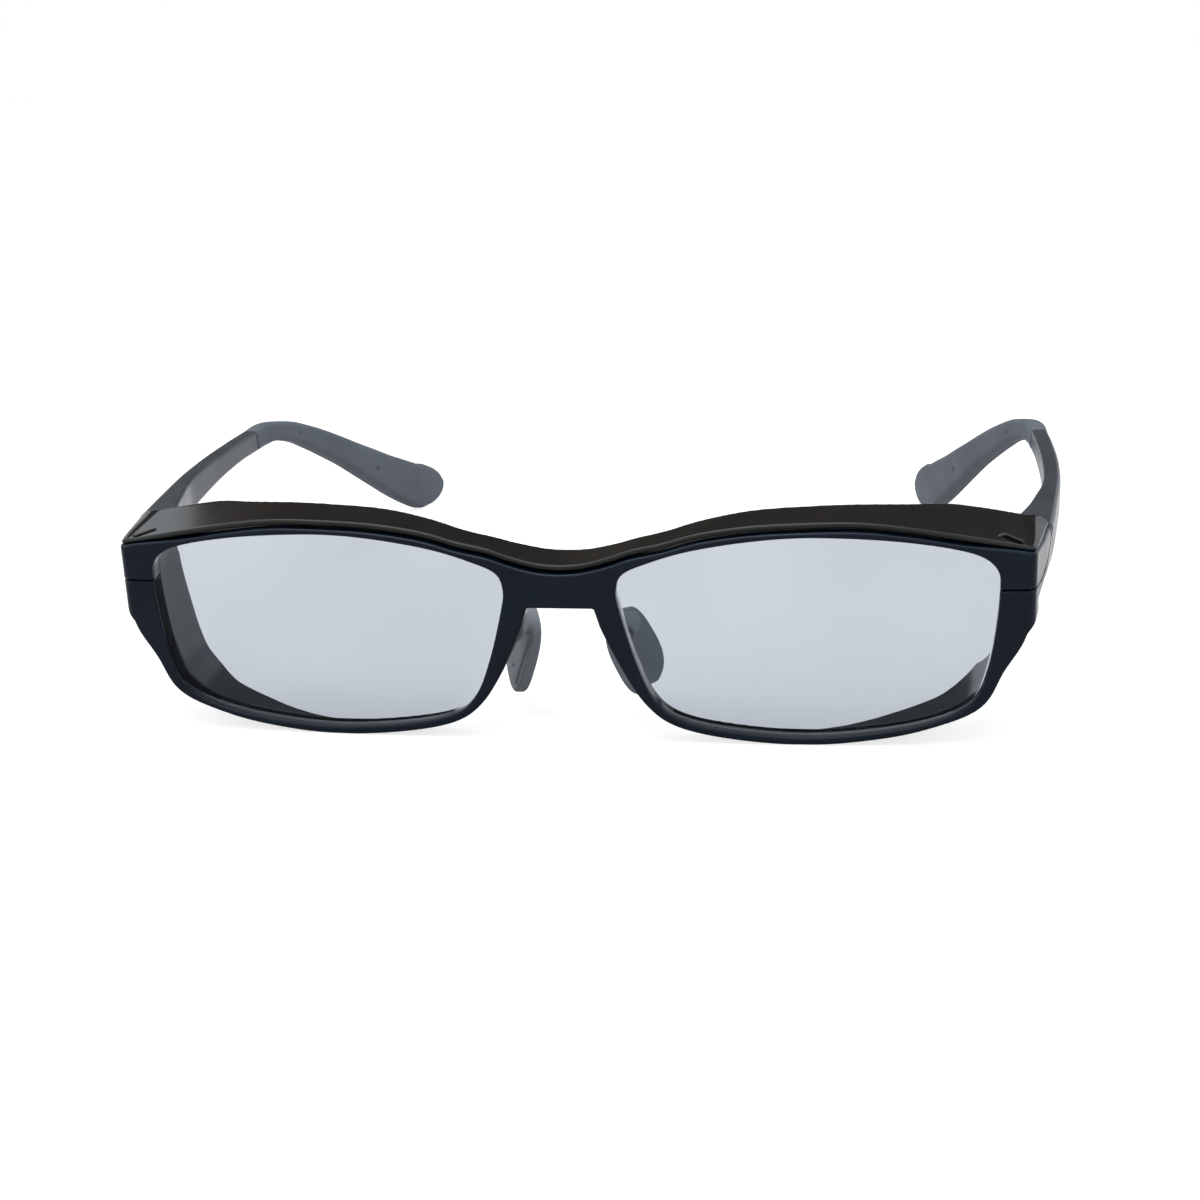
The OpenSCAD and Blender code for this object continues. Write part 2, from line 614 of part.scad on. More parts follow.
module temple_tip(side) {
    top = [for (p = tip_curve) [p[0], p[2]]];
    low = [for (p = tip_curve) [p[0], p[1]]];
    end = [for (p = smooth(TIP_END, steps)) [p[0], max(0, p[1] * paddle_h)]];
    color([0.37, 0.39, 0.41]) placed() difference() {
        half(side) intersection() {
            from_above(0, tall) polygon(concat([for (p = plan_curve) [p[1] + tip_t / 2, p[0]]],
                backwards([for (p = plan_curve) [p[1] - tip_t / 2, p[0]]])));
            from_side(0, temple_half_w + 10) polygon(concat([for (i = [0 : len(top) - 2]) top[i]],
                end, backwards(low)));
            translate([0, tip_start + seat_gap, 0]) cube([temple_half_w + 10, tip_l + 5, tall]);
        }
        core_shape(side, core_gap);
        half(side) translate([lookup(dimple_at[0], plan_curve) - tip_t / 2 - 1, dimple_at[0], dimple_at[1]])
            rotate([0, 90, 0]) cylinder(d = dimple_d, h = 1.7);
    }
}

front_frame();
hood();
lens(-1);  // lens_left
lens(1);  // lens_right
rim_screw(-1);  // rim_screw_left
rim_screw(1);  // rim_screw_right
nose_pad(-1);  // nose_pad_left
nose_pad(1);  // nose_pad_right
hinge_front(-1);  // hinge_front_left
hinge_front(1);  // hinge_front_right
rivets_front();  // hinge_rivets_front
hinge_temple(-1);  // hinge_temple_left
hinge_temple(1);  // hinge_temple_right
hinge_screw(-1);  // hinge_screw_left
hinge_screw(1);  // hinge_screw_right
rivets_temple(-1);  // hinge_rivets_left
rivets_temple(1);  // hinge_rivets_right
temple(-1);  // temple_left
temple(1);  // temple_right
core(-1);  // core_left
core(1);  // core_right
temple_tip(-1);  // temple_tip_left
temple_tip(1);  // temple_tip_right
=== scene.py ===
import math

import bmesh
import bpy
import numpy as np
from mathutils import Matrix, Vector


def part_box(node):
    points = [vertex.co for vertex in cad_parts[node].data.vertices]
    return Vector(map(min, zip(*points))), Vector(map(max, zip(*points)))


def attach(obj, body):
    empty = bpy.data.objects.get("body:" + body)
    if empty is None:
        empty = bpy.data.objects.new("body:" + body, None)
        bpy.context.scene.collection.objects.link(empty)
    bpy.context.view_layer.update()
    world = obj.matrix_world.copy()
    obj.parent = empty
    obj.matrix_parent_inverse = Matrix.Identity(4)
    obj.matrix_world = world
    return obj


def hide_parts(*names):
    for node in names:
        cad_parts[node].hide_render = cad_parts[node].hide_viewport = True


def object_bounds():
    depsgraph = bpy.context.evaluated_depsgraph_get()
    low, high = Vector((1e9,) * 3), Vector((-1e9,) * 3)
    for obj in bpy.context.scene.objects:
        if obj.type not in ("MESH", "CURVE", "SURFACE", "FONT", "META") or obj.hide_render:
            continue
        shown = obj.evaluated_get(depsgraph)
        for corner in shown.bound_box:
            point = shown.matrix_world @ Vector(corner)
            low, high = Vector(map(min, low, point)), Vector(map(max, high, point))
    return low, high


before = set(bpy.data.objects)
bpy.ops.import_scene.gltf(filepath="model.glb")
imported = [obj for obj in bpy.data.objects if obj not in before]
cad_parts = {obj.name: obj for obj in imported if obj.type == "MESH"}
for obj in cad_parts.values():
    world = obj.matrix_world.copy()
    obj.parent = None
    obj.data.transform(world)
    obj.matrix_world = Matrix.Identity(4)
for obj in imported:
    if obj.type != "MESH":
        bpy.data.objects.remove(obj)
cad_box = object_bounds()

# Lengths are in millimetres unless a comment says metres, with Y measured from the front of the
# goggles backwards. The right half is worked out, the left mirrors it.
MM = 0.001
FRONT_Y = cad_box[0].y


def box_mm(node):
    """Lowest and highest corner of a CAD node in this script's millimetres."""
    low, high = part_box(node)
    return [(p.x / MM, (p.y - FRONT_Y) / MM, p.z / MM) for p in (low, high)]


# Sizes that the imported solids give
lens_box = box_mm("lens_right")
tip_box = box_mm("temple_tip_right")
temple_box = box_mm("temple_right")
frame_box = box_mm("front_frame")
leaf_box = box_mm("hinge_front_right")
temple_leaf_box = box_mm("hinge_temple_right")
screw_box = box_mm("hinge_screw_right")
hood_box = box_mm("hood")

# The opening of the rim is smaller than the lens by its seat
lens_seat = 0.35
open_x0 = lens_box[0][0] + lens_seat
open_x1 = lens_box[1][0] - lens_seat
open_z0 = lens_box[0][2] + lens_seat
open_z1 = lens_box[1][2] - lens_seat
lens_w = open_x1 - open_x0
lens_h = open_z1 - open_z0


def lens_x(share):
    """x at a share of the opening's width."""
    return open_x0 + share * lens_w


# Heights and depths, of which end_z is the top of the endpieces and temples
brow_z = frame_box[1][2]
end_z = brow_z - 3.85
arch_z = open_z1 - 11.3
endpiece_l = frame_box[1][1]
overall_l = tip_box[1][1]
tip_start = temple_box[1][1]
temple_half_w = temple_box[1][0]
root_x = frame_box[1][0]

# Lengths that pieces share. Outlines run on past an end that one plane cuts, floor_gap keeps the
# lowest points off the floor, and seat_gap is the room around a seated piece.
RUN_ON = 2
floor_gap = 0.02
floor_round = 0.1
seat_gap = 0.05

# Sizes of the front
endpiece_w = 4.9
endpiece_flare = 3.1
endpiece_h = 10.9
endpiece_in = open_x1 + 1.7
endpiece_low = end_z - endpiece_h
rim_low_h = 1.3
rim_top_h = 1.45
rim_nose_w = 3.9
rim_d = 4.3
rim_drop = 0.55
bridge_h = 5.4
wrap = 2.3
half_w = open_x1 + endpiece_w
wrap_r = (half_w ** 2 + wrap ** 2) / (2 * wrap)
lip_d = 0.9
flank_in = 0.06
flank_curve = 0.12
slit_z = end_z - 5.8
slit_w = 0.24
slit_depth = 0.9
rim_screw_in = 1.7
rim_screw_y = endpiece_l * 0.4
rim_screw_r = 1.35
rim_screw_z = end_z - 8.4
pivot = ((screw_box[0][0] + screw_box[1][0]) / 2, (screw_box[0][1] + screw_box[1][1]) / 2)
hinge_z = leaf_box[0][2]
barrel_h = leaf_box[1][2] - hinge_z
relief_r = 1.5

# Radii of the front's edges, and of the fillets where its forms meet
plate_round = 0.42
opening_round = 0.28
endpiece_round = 0.6
endpiece_end_round = 0.25
flank_round = 0.8
front_corner_round = 1.3
corner_r = 0.9
corner_more = 2.3
plate_fillet = 0.3
low_fillet = 3.0
post_fillet = 0.4
hollow_round = 0.12
slit_round = 0.05
rib_round = 0.1
post_round = 0.2

# Part of the rim's inner wall with painted shade, darker and less glossy than the rest: its depths,
# which start further back at the bottom, and its reach along the opening
wall_near = 0.2
wall_start = 0.5
wall_low_more = 2.4
wall_low_fade = (2, 9)
wall_end = rim_d - 0.1
wall_top = slit_z - 0.3
wall_side_x = open_x1 - 12
wall_bottom_z = 6
wall_nose_x = open_x0 + 8

# Sizes of the hood
visor_t = 1.2
visor_rise = 0.35
visor_end_drop = 0.6
visor_mid_d = 9.4
visor_lens_d = 10.7
visor_low_round = 0.12
visor_back_round = 0.18
lip_groove = 0.35
lip_round = 0.5
shield_t = 1.0
shield_d = 14.0
shield_gap = seat_gap + 0.1
shield_in = 1.6
shield_up = 0.4
shield_more = 0.5
shield_low_more = 1.7
shield_fillet = 0.35
shield_back_round = 0.3
shield_front_round = 0.2
shield_tone_drop = 0.25
slot_l = 3.4
slot_w = 1.6
slot_h = 3
slot_turn = math.radians(56)
latch_at = (endpiece_in, wrap + lip_d + 2.2)
rib_play_w = 0.5
rib_play_l = 0.6
rib_h = 2

# Sizes of the lenses
lens_in = 0.3
lens_t = 1.6

# Sizes of the temples and tips
temple_root_h = 5.8
temple_end_h = 4.1
root_low = end_z - temple_root_h
tip_low = end_z - temple_end_h
temple_t = 2.9
temple_round = 0.75
tip_t = 3.2
tip_half_w = tip_box[0][0] + tip_t / 2
tip_round = 0.95
tip_floor_round = 0.15
joint_round = 0.2
room_round = 0.1
paddle_h = 10.8

# Sizes of the nose pads
pad_h = 15.0
pad_w = 10.6
pad_t = 2.3
pad_round = 0.6
pad_power = 2.8
pad_crown = 0.06
pad_crown_w = 3
pad_narrow = 0.05
mark_round = 0.2
post_d = 2.0
post_root = 1.5
post_play = 0.1
boss_d = post_d + 1.6
boss_root = 2.2
boss_past = 0.4
boss_round = 0.3
boss_fillet = 0.7
pad_at = (open_x0 + 0.35, rim_d + 10.5, arch_z - 11.8)
pad_turns = (63, 19, -20.6)
post_at = (open_x0 + 0.1, arch_z - 6.1)
post_end = rim_d + 8.3
dimple_d = 1.0

# The curve points of the solids: shares of the opening, and the rim's width outside each
LENS_SHAPE = [
    (0.993, 0.558, endpiece_w - 0.3), (0.975, 0.353, endpiece_w - 2.5),
    (0.94, 0.199, rim_low_h + 0.45), (0.856, 0.098, rim_low_h - 0.3),
    (0.715, 0.035, rim_low_h - 0.15), (0.513, 0, rim_low_h),
    (0.316, 0.022, rim_low_h), (0.167, 0.079, rim_low_h),
    (0.093, 0.186, rim_low_h + 0.3), (0.046, 0.382, rim_nose_w - 1.3),
    (0.007, 0.637, rim_nose_w), (0, 0.735, rim_nose_w),
    (0.018, 0.817, rim_nose_w), (0.086, 0.874, rim_top_h),
    (0.197, 0.934, rim_top_h), (0.355, 0.981, rim_top_h),
    (0.513, 1, rim_top_h), (0.713, 0.984, rim_top_h),
    (0.868, 0.946, rim_top_h), (0.953, 0.902, rim_top_h),
    (0.993, 0.836, rim_top_h), (1, 0.745, rim_top_h)]

# Places in LENS_SHAPE, and curve steps from each to the next
NOSE_AT = 10
TOP_OUTER_AT = 18
OUTER_AT = 21
SHIELD_END_AT = OUTER_AT + 6
STEPS = 8


def smooth(points, steps=STEPS):
    """Smooth open curve through the points."""
    p = np.array(points, float)
    q = np.vstack([p[:1], p, p[-1:]])
    t = (np.arange(steps) / steps)[None, :, None]
    a, b, c, d = (q[i:len(q) - 3 + i, None, :] for i in range(4))
    curve = 0.5 * (2 * b + (c - a) * t + (2 * a - 5 * b + 4 * c - d) * t ** 2
                   + (3 * b - a - 3 * c + d) * t ** 3)
    return np.vstack([curve.reshape(-1, p.shape[1]), p[-1:]])


def smooth_loop(points):
    """Smooth closed curve through the points."""
    p = np.array(points, float)
    curve = smooth(np.vstack([p[-1:], p, p[:2]]))
    return curve[STEPS:STEPS * (len(p) + 1)]


def run_past(curve, *by):
    """The curve with one more point before its start and one after its end."""
    return np.vstack([curve[0] - by, curve, curve[-1] + by])


lens_curve = smooth_loop([(lens_x(u), open_z0 + v * lens_h, w) for u, v, w in LENS_SHAPE])
tangent = np.roll(lens_curve[:, :2], -1, 0) - np.roll(lens_curve[:, :2], 1, 0)
outward = np.stack([-tangent[:, 1], tangent[:, 0]], 1) / np.linalg.norm(tangent, axis=1)[:, None]


def opening(grow):
    """Outline of the right lens opening, grown outwards."""
    return lens_curve[:, :2] + grow * outward


def opening_part(start, stop, grow):
    """Stretch of that outline between two places of LENS_SHAPE."""
    index = np.arange(start * STEPS, stop * STEPS + 1) % len(lens_curve)
    return opening(grow)[index]


# The brow, on which the visor sits, from the middle to the outer end
BROW = [
    (0, arch_z + bridge_h), (0.42 * open_x0, arch_z + bridge_h + 0.34),
    (0.9 * open_x0, arch_z + bridge_h + 1.45), (1.3 * open_x0, arch_z + bridge_h + 2.75),
    (lens_x(0.127), brow_z - 3.2), (lens_x(0.223), brow_z - 1.65), (lens_x(0.355), brow_z - 0.55),
    (lens_x(0.496), brow_z - 0.1), (lens_x(0.636), brow_z - 0.05), (lens_x(0.759), brow_z - 0.8),
    (lens_x(0.872), brow_z - 1.85), (lens_x(0.97), brow_z - 2.85), (half_w - 1, end_z)]
brow = smooth(BROW)
brow_out = np.vstack([brow, [half_w + endpiece_flare + 4, end_z]])

# Outer edge of the rim, from the endpiece down and round to the nose
rim_part = slice(NOSE_AT * STEPS - 1)
rim_curve = lens_curve[rim_part, :2] + lens_curve[rim_part, 2:] * outward[rim_part]

# Outer face of the endpiece, seen from above
OUTER = [(half_w, 0), (half_w + 0.4, wrap + 0.9),
         (half_w + 0.4 + 0.36 * endpiece_flare, endpiece_l * 0.48),
         (half_w + 0.4 + 0.66 * endpiece_flare, endpiece_l * 0.71), (root_x - 0.02, endpiece_l)]

# Stretches of x in which the brow changes from bridge to lens and from lens to endpiece, and in
# which the visor's rear begins to rise
BRIDGE_TO_LENS = (9, 17)
LENS_TO_END = (half_w - 12, half_w - 1)
VISOR_RISE_X = (52, 66)

# Depth over which the visor climbs, by x, and the depth at which the groove under its lip ends
CLIMB_X = (0, 30, half_w)
CLIMB_D = (8, 10, 14)
GROOVE_D = (0.7, 1.6)


def brow_level(x):
    """Height of the brow at x."""
    return np.interp(x, *brow_out.T)


def arc(x):
    """Depth of the curved front at x."""
    return wrap_r - np.sqrt(wrap_r ** 2 - x ** 2)


def over_lens(x):
    """1 above the lens, 0 at the bridge and at the outer end."""
    return fade(x, *BRIDGE_TO_LENS) * (1 - fade(x, *LENS_TO_END))


def visor_levels(x, y):
    """Heights of the lower and upper faces of the visor, which climb a little towards the rear."""
    behind_lip = y - arc(x) - lip_d
    share = np.clip(behind_lip / np.interp(x, CLIMB_X, CLIMB_D), 0, 1)
    end = fade(x, *LENS_TO_END)
    seat = brow_level(x) + seat_gap
    fall = rim_drop * over_lens(x) * (1 - share)
    under = lip_groove * (1 - end) * (1 - fade(behind_lip, *GROOVE_D))
    rise = visor_rise * fade(x, *VISOR_RISE_X) * share
    top = seat + visor_t - fall - visor_end_drop * end * (1 - share) + rise
    return seat - fall + under, top


def corner_round(y):
    """Radius of the outer top corner, wider towards the hinge."""
    return corner_r + corner_more * fade(y, wrap + 1, endpiece_l)


def outer_side(x, y):
    """Distance outside the outer faces of the endpiece, seen from above."""
    return x - np.interp(y, *smooth(OUTER)[:, ::-1].T)


def turned_box(w, l):
    """Plan of a box at the latch near the end of the visor."""
    c, s = math.cos(slot_turn), math.sin(slot_turn)
    corners = np.array([(-w, -l), (w, -l), (w, l), (-w, l)]) / 2
    return corners @ np.array([[c, -s], [s, c]]).T + latch_at


# Solids as distance fields: negative inside, in millimetres, worked out CHUNK points at a time
CHUNK = 16384


def outline_distance(u, v, outline):
    """Distance to a closed outline, on the points u, v."""
    u, v = np.broadcast_arrays(np.asarray(u, np.float32), np.asarray(v, np.float32))
    shape = u.shape
    u, v = u.ravel(), v.ravel()
    a = np.asarray(outline, np.float32)
    b = np.roll(a, -1, 0)
    keep = np.abs(b - a).sum(1) > 1e-6
    a, b = a[keep], b[keep]
    e = b - a
    out = np.empty(len(u), np.float32)
    for i in range(0, len(u), CHUNK):
        pu, pv = u[i:i + CHUNK, None], v[i:i + CHUNK, None]
        du, dv = pu - a[:, 0], pv - a[:, 1]
        t = np.clip((du * e[:, 0] + dv * e[:, 1]) / (e ** 2).sum(1), 0, 1)
        near = np.sqrt(((du - e[:, 0] * t) ** 2 + (dv - e[:, 1] * t) ** 2).min(1))
        across = (a[:, 1] > pv) != (b[:, 1] > pv)
        rise = np.where(e[:, 1] == 0, 1, e[:, 1])
        inside = (across & (du < e[:, 0] * dv / rise)).sum(1) % 2 == 1
        out[i:i + CHUNK] = np.where(inside, -near, near)
    return out.reshape(shape)


def line_distance(u, v, line):
    """Distance to an open line, on the points u, v."""
    u, v = np.broadcast_arrays(np.asarray(u, np.float32), np.asarray(v, np.float32))
    a = np.asarray(line, np.float32)
    best = np.full(u.shape, 1e6, np.float32)
    for (au, av), (bu, bv) in zip(a[:-1], a[1:]):
        eu, ev = bu - au, bv - av
        t = np.clip(((u - au) * eu + (v - av) * ev) / max(eu ** 2 + ev ** 2, 1e-9), 0, 1)
        best = np.minimum(best, np.hypot(u - au - eu * t, v - av - ev * t))
    return best


def both(a, b, r=0.0):
    """The part that two fields share, with the edge between them rounded by r."""
    if np.ndim(r) == 0 and r == 0:
        return np.maximum(a, b)
    return np.minimum(np.maximum(a, b), -r) + np.hypot(np.maximum(a + r, 0), np.maximum(b + r, 0))


def either(a, b, r=0.0):
    """Two fields joined, with a fillet of r between them."""
    return -both(-a, -b, r)


def block(x, y, z, low, high):
    """An upright box."""
    sides = [np.maximum(a - p, p - b) for p, a, b in zip((x, y, z), low, high)]
    return np.maximum(np.maximum(sides[0], sides[1]), sides[2])


def rod(u, v, centre, r):
    """A round rod, seen along its axis."""
    return np.hypot(u - centre[0], v - centre[1]) - r


def fade(value, start, stop):
    """Smooth step from 0 at start to 1 at stop."""
    t = np.clip((value - start) / (stop - start), 0, 1)
    return t * t * (3 - 2 * t)


def bend(a, corner, b, count=6):
    """Points of a curve from a to b that rounds the corner between them."""
    t = (np.arange(count + 1) / count)[:, None]
    a, corner, b = (np.array(p, float) for p in (a, corner, b))
    return (1 - t) ** 2 * a + 2 * t * (1 - t) * corner + t ** 2 * b


# Least share of a step with which a grid may end a stretch
LEAST_SHARE = 0.3


def axis(*marks):
    """Grid positions through places, with the step to the next place after each."""
    stretches = zip(marks[:-2:2], marks[1::2], marks[2::2])
    parts = [np.arange(a, b - LEAST_SHARE * s, s) for a, s, b in stretches]
    return np.concatenate(parts + [[marks[-1]]])


# How skin() moves a point to the surface: rounds, share of each step, least squared slope, and how
# far a point may leave its cell
SNAP_ROUNDS = 3
SNAP_SHARE = 0.8
LEAST_SLOPE = 0.2
CELL_PLAY = 0.05


def skin(field, grid):
    """Vertices, quads and normals of a field's zero surface on a grid with uneven steps."""
    low = field < 0
    count = np.zeros(tuple(n - 1 for n in field.shape), np.int8)
    corners = [(i, j, k) for i in (0, 1) for j in (0, 1) for k in (0, 1)]
    nx, ny, nz = count.shape
    for i, j, k in corners:
        count += low[i:nx + i, j:ny + j, k:nz + k]
    live = (count > 0) & (count < 8)
    index = np.full(live.shape, -1, np.int64)
    index[live] = np.arange(live.sum())
    cells = np.argwhere(live)
    base = np.stack([grid[a][cells[:, a]] for a in range(3)], 1)
    size = np.stack([grid[a][cells[:, a] + 1] for a in range(3)], 1) - base

    def at_corners(values):
        return np.stack([values[tuple((cells + c).T)] for c in corners], 1)

    def corner_shares(w):
        sides = [[w[:, a] if c[a] else 1 - w[:, a] for a in range(3)] for c in corners]
        return np.stack([np.prod(side, 0) for side in sides], 1)

    value = at_corners(field)
    slope = np.stack([at_corners(s) for s in np.gradient(field, *grid)], 2)
    where = np.zeros((len(cells), 3))
    hits = np.zeros(len(cells))
    for first, corner in enumerate(corners):
        for a in range(3):
            if corner[a]:
                continue
            other = list(corner)
            other[a] = 1
            second = corners.index(tuple(other))
            f0, f1 = value[:, first], value[:, second]
            cross = (f0 < 0) != (f1 < 0)
            at = np.tile(np.array(corner, float), (len(cells), 1))
            at[:, a] = f0 / np.where(cross, f0 - f1, 1)
            where[cross] += at[cross]
            hits += cross
    where /= hits[:, None]
    for _ in range(SNAP_ROUNDS):
        weight = corner_shares(where)
        f = (weight * value).sum(1)
        g = (weight[:, :, None] * slope).sum(1)
        move = f[:, None] * g / np.maximum((g ** 2).sum(1), LEAST_SLOPE)[:, None]
        where = np.clip(where - SNAP_SHARE * move / size, -CELL_PLAY, 1 + CELL_PLAY)
    weight = corner_shares(np.clip(where, 0, 1))
    normals = (weight[:, :, None] * slope).sum(1)
    normals /= np.maximum(np.linalg.norm(normals, axis=1), 1e-6)[:, None]
    quads = []
    for a in range(3):
        u, v = (a + 1) % 3, (a + 2) % 3
        start = [slice(1, -1)] * 3
        start[a] = slice(0, -1)
        stop = [slice(1, -1)] * 3
        stop[a] = slice(1, None)
        first, second = low[tuple(start)], low[tuple(stop)]
        edge = np.argwhere(first != second)
        goes_out = first[tuple(edge.T)]
        edge[:, u] += 1
        edge[:, v] += 1
        du, dv = np.eye(3, dtype=int)[[u, v]]
        ring = [index[tuple((edge - s).T)] for s in (du * 0, du, du + dv, dv)]
        quad = np.stack(ring, 1)
        quad[~goes_out] = quad[~goes_out][:, ::-1]
        quads.append(quad)
    return base + where * size, np.vstack(quads), normals


def placed(points):
    """This script's millimetres as the frame's metres."""
    return np.asarray(points, float) * MM + np.array([0, FRONT_Y, 0])


def add_object(name, data):
    made = bpy.data.objects.new(name, data)
    bpy.context.scene.collection.objects.link(made)
    return made


def add_mesh(name, points, faces, normals=None):
    """A smooth-shaded object from millimetre points, kept in the solids' box, and quads."""
    mesh = bpy.data.meshes.new(name)
    mesh.vertices.add(len(points))
    at = np.clip(placed(points), np.array(cad_box[0]), np.array(cad_box[1]))
    mesh.vertices.foreach_set("co", at.astype(np.float32).ravel())
    faces = np.asarray(faces)
    mesh.loops.add(faces.size)
    mesh.loops.foreach_set("vertex_index", faces.ravel().astype(np.int32))
    mesh.polygons.add(len(faces))
    mesh.polygons.foreach_set("loop_start", np.arange(0, faces.size, faces.shape[1], dtype=np.int32))
    mesh.update(calc_edges=True)
    mesh.validate()
    mesh.polygons.foreach_set("use_smooth", np.ones(len(mesh.polygons), bool))
    if normals is not None:
        mesh.normals_split_custom_set_from_vertices(normals.tolist())
    return add_object(name, mesh)


def mirrored(points, faces, normals):
    """The left side's mesh from the right side's."""
    flip = np.array([-1, 1, 1])
    return points * flip, faces[:, ::-1], normals * flip


def finish_piece(piece, body, node, material):
    """Material, replaced solid and body of a piece."""
    piece.data.materials.append(material)
    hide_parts(node)
    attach(piece, body)


def second_material(piece, chosen, material):
    """Gives the chosen faces another material."""
    piece.data.materials.append(material)
    piece.data.polygons.foreach_set("material_index", chosen.astype(np.int32))
    piece.data.update()


def add_whole(name, solid, grid):
    """A piece of both halves from the right half's field, and its faces' places without x's sign."""
    xs, ys, zs = grid
    right = solid.astype(np.float32)
    field = np.concatenate([right[:0:-1], right])
    points, faces, normals = skin(field, (np.concatenate([-xs[:0:-1], xs]), ys, zs))
    at_x, at_y, at_z = points[faces].mean(1).T
    return add_mesh(name, points, faces, normals), (np.abs(at_x), at_y, at_z)


def add_pair(solid, grid, name, body, node, material):
    """A right piece and its mirror image, with the side's name in place of {} in the names."""
    shape = skin(solid.astype(np.float32), grid)
    pieces = []
    for side, parts in (("right", shape), ("left", mirrored(*shape))):
        piece = add_mesh(name.format(side), *parts)
        finish_piece(piece, body.format(side), node.format(side), material)
        pieces.append(piece)
    return pieces


def mesh_grid(xs, ys, zs):
    return xs[:, None, None], ys[None, :, None], zs[None, None, :]


# Materials
def shader(name):
    material = bpy.data.materials.new(name)
    material.use_nodes = True
    return material, material.node_tree


def new_node(tree, kind, values):
    """A shader node of a kind, with values for its inputs by name."""
    return set_values(tree.nodes.new("ShaderNode" + kind), values)


def set_values(node, values):
    """Sets a node's own inputs by name."""
    for name, value in values.items():
        node.inputs[name].default_value = value
    return node


def grain(tree, scale, detail=3.0):
    """Noise that stays with the object, whose scale is in features per metre."""
    where = tree.nodes.new("ShaderNodeTexCoord")
    noise = new_node(tree, "TexNoise", {"Scale": scale, "Detail": detail})
    tree.links.new(where.outputs["Object"], noise.inputs["Vector"])
    return noise.outputs["Fac"]


def ramp(tree, source, low, high, start=0.35, stop=0.65):
    """Colour that runs from low to high."""
    made = tree.nodes.new("ShaderNodeValToRGB")
    for element, position, colour in zip(made.color_ramp.elements, (start, stop), (low, high)):
        element.position = position
        element.color = (*colour, 1)
    tree.links.new(source, made.inputs["Fac"])
    return made.outputs["Color"]


def spread(tree, source, low, high):
    """Number that runs from low to high."""
    made = new_node(tree, "MapRange", {"To Min": low, "To Max": high})
    tree.links.new(source, made.inputs["Value"])
    return made.outputs["Result"]


def bump(tree, target, source, strength, height):
    """Roughens a shader's surface by a height in metres."""
    made = new_node(tree, "Bump", {"Strength": strength, "Distance": height})
    tree.links.new(source, made.inputs["Height"])
    tree.links.new(made.outputs["Normal"], target.inputs["Normal"])


TONE_SCALE = 90
GLOSS_SCALE = 240


def moulded(name, low, high, rough, grain_scale, bump_strength, bump_height, specular):
    """Moulded plastic or rubber with a slight unevenness of colour, gloss and surface."""
    material, tree = shader(name)
    surface = set_values(tree.nodes["Principled BSDF"], {"Specular IOR Level": specular})
    tone = ramp(tree, grain(tree, TONE_SCALE), low, high)
    tree.links.new(tone, surface.inputs["Base Color"])
    gloss = spread(tree, grain(tree, GLOSS_SCALE), *rough)
    tree.links.new(gloss, surface.inputs["Roughness"])
    bump(tree, surface, grain(tree, grain_scale, 4), bump_strength, bump_height)
    return material


frame_black = moulded("frame_navy_black", (0.0012, 0.0056, 0.0125), (0.0025, 0.0085, 0.017),
                      (0.13, 0.2), 700, 0.05, 0.00002, 0.24)
hood_brown = moulded("hood_smoke_brown", (0.008, 0.0075, 0.007), (0.013, 0.012, 0.011),
                     (0.1, 0.18), 500, 0.06, 0.00003, 0.32)
shield_smoke = moulded("shield_smoke_grey", (0.052, 0.061, 0.068), (0.068, 0.078, 0.086),
                       (0.14, 0.24), 500, 0.06, 0.00003, 0.4)
# Painted shade: a darker, less glossy copy of the frame's plastic for the deep inner wall of the rim
rim_wall_painted_shade = moulded("rim_wall_painted_shade", (0.001, 0.002, 0.0035), (0.002, 0.0035, 0.0055),
                         (0.55, 0.7), 900, 0.2, 0.00003, 0.05)
temple_black = moulded("temple_black", (0.045, 0.052, 0.061), (0.06, 0.069, 0.08),
                       (0.2, 0.3), 500, 0.05, 0.00003, 0.3)
tip_rubber = moulded("tip_rubber_grey", (0.088, 0.101, 0.12), (0.108, 0.123, 0.145),
                     (0.58, 0.74), 5200, 0.35, 0.00006, 0.35)
pad_rubber = moulded("pad_rubber_grey", (0.205, 0.226, 0.248), (0.25, 0.272, 0.296),
                     (0.5, 0.64), 4200, 0.35, 0.00006, 0.4)


def brushed_metal():
    """Nickel with brush lines along Z."""
    material, tree = shader("nickel_brushed")
    surface = set_values(tree.nodes["Principled BSDF"], {"Metallic": 1.0})
    where = tree.nodes.new("ShaderNodeTexCoord")
    stretch = new_node(tree, "Mapping", {"Scale": (4000, 4000, 300)})
    noise = new_node(tree, "TexNoise", {"Scale": 1.0})
    tree.links.new(where.outputs["Object"], stretch.inputs["Vector"])
    tree.links.new(stretch.outputs["Vector"], noise.inputs["Vector"])
    tone = ramp(tree, noise.outputs["Fac"], (0.46, 0.46, 0.47), (0.62, 0.62, 0.63))
    tree.links.new(tone, surface.inputs["Base Color"])
    tree.links.new(spread(tree, noise.outputs["Fac"], 0.2, 0.42), surface.inputs["Roughness"])
    bump(tree, surface, noise.outputs["Fac"], 0.1, 0.00002)
    return material


def lens_glass():
    """Clear plastic with a faint blue tint."""
    material, tree = shader("lens_clear_blue")
    surface = set_values(tree.nodes["Principled BSDF"],
                         {"Roughness": 0.0, "IOR": 1.2, "Transmission Weight": 1.0})
    tint = ramp(tree, grain(tree, 28, 2), (0.447, 0.477, 0.521), (0.476, 0.505, 0.549))
    tree.links.new(tint, surface.inputs["Base Color"])
    return material


nickel = brushed_metal()
lens_material = lens_glass()


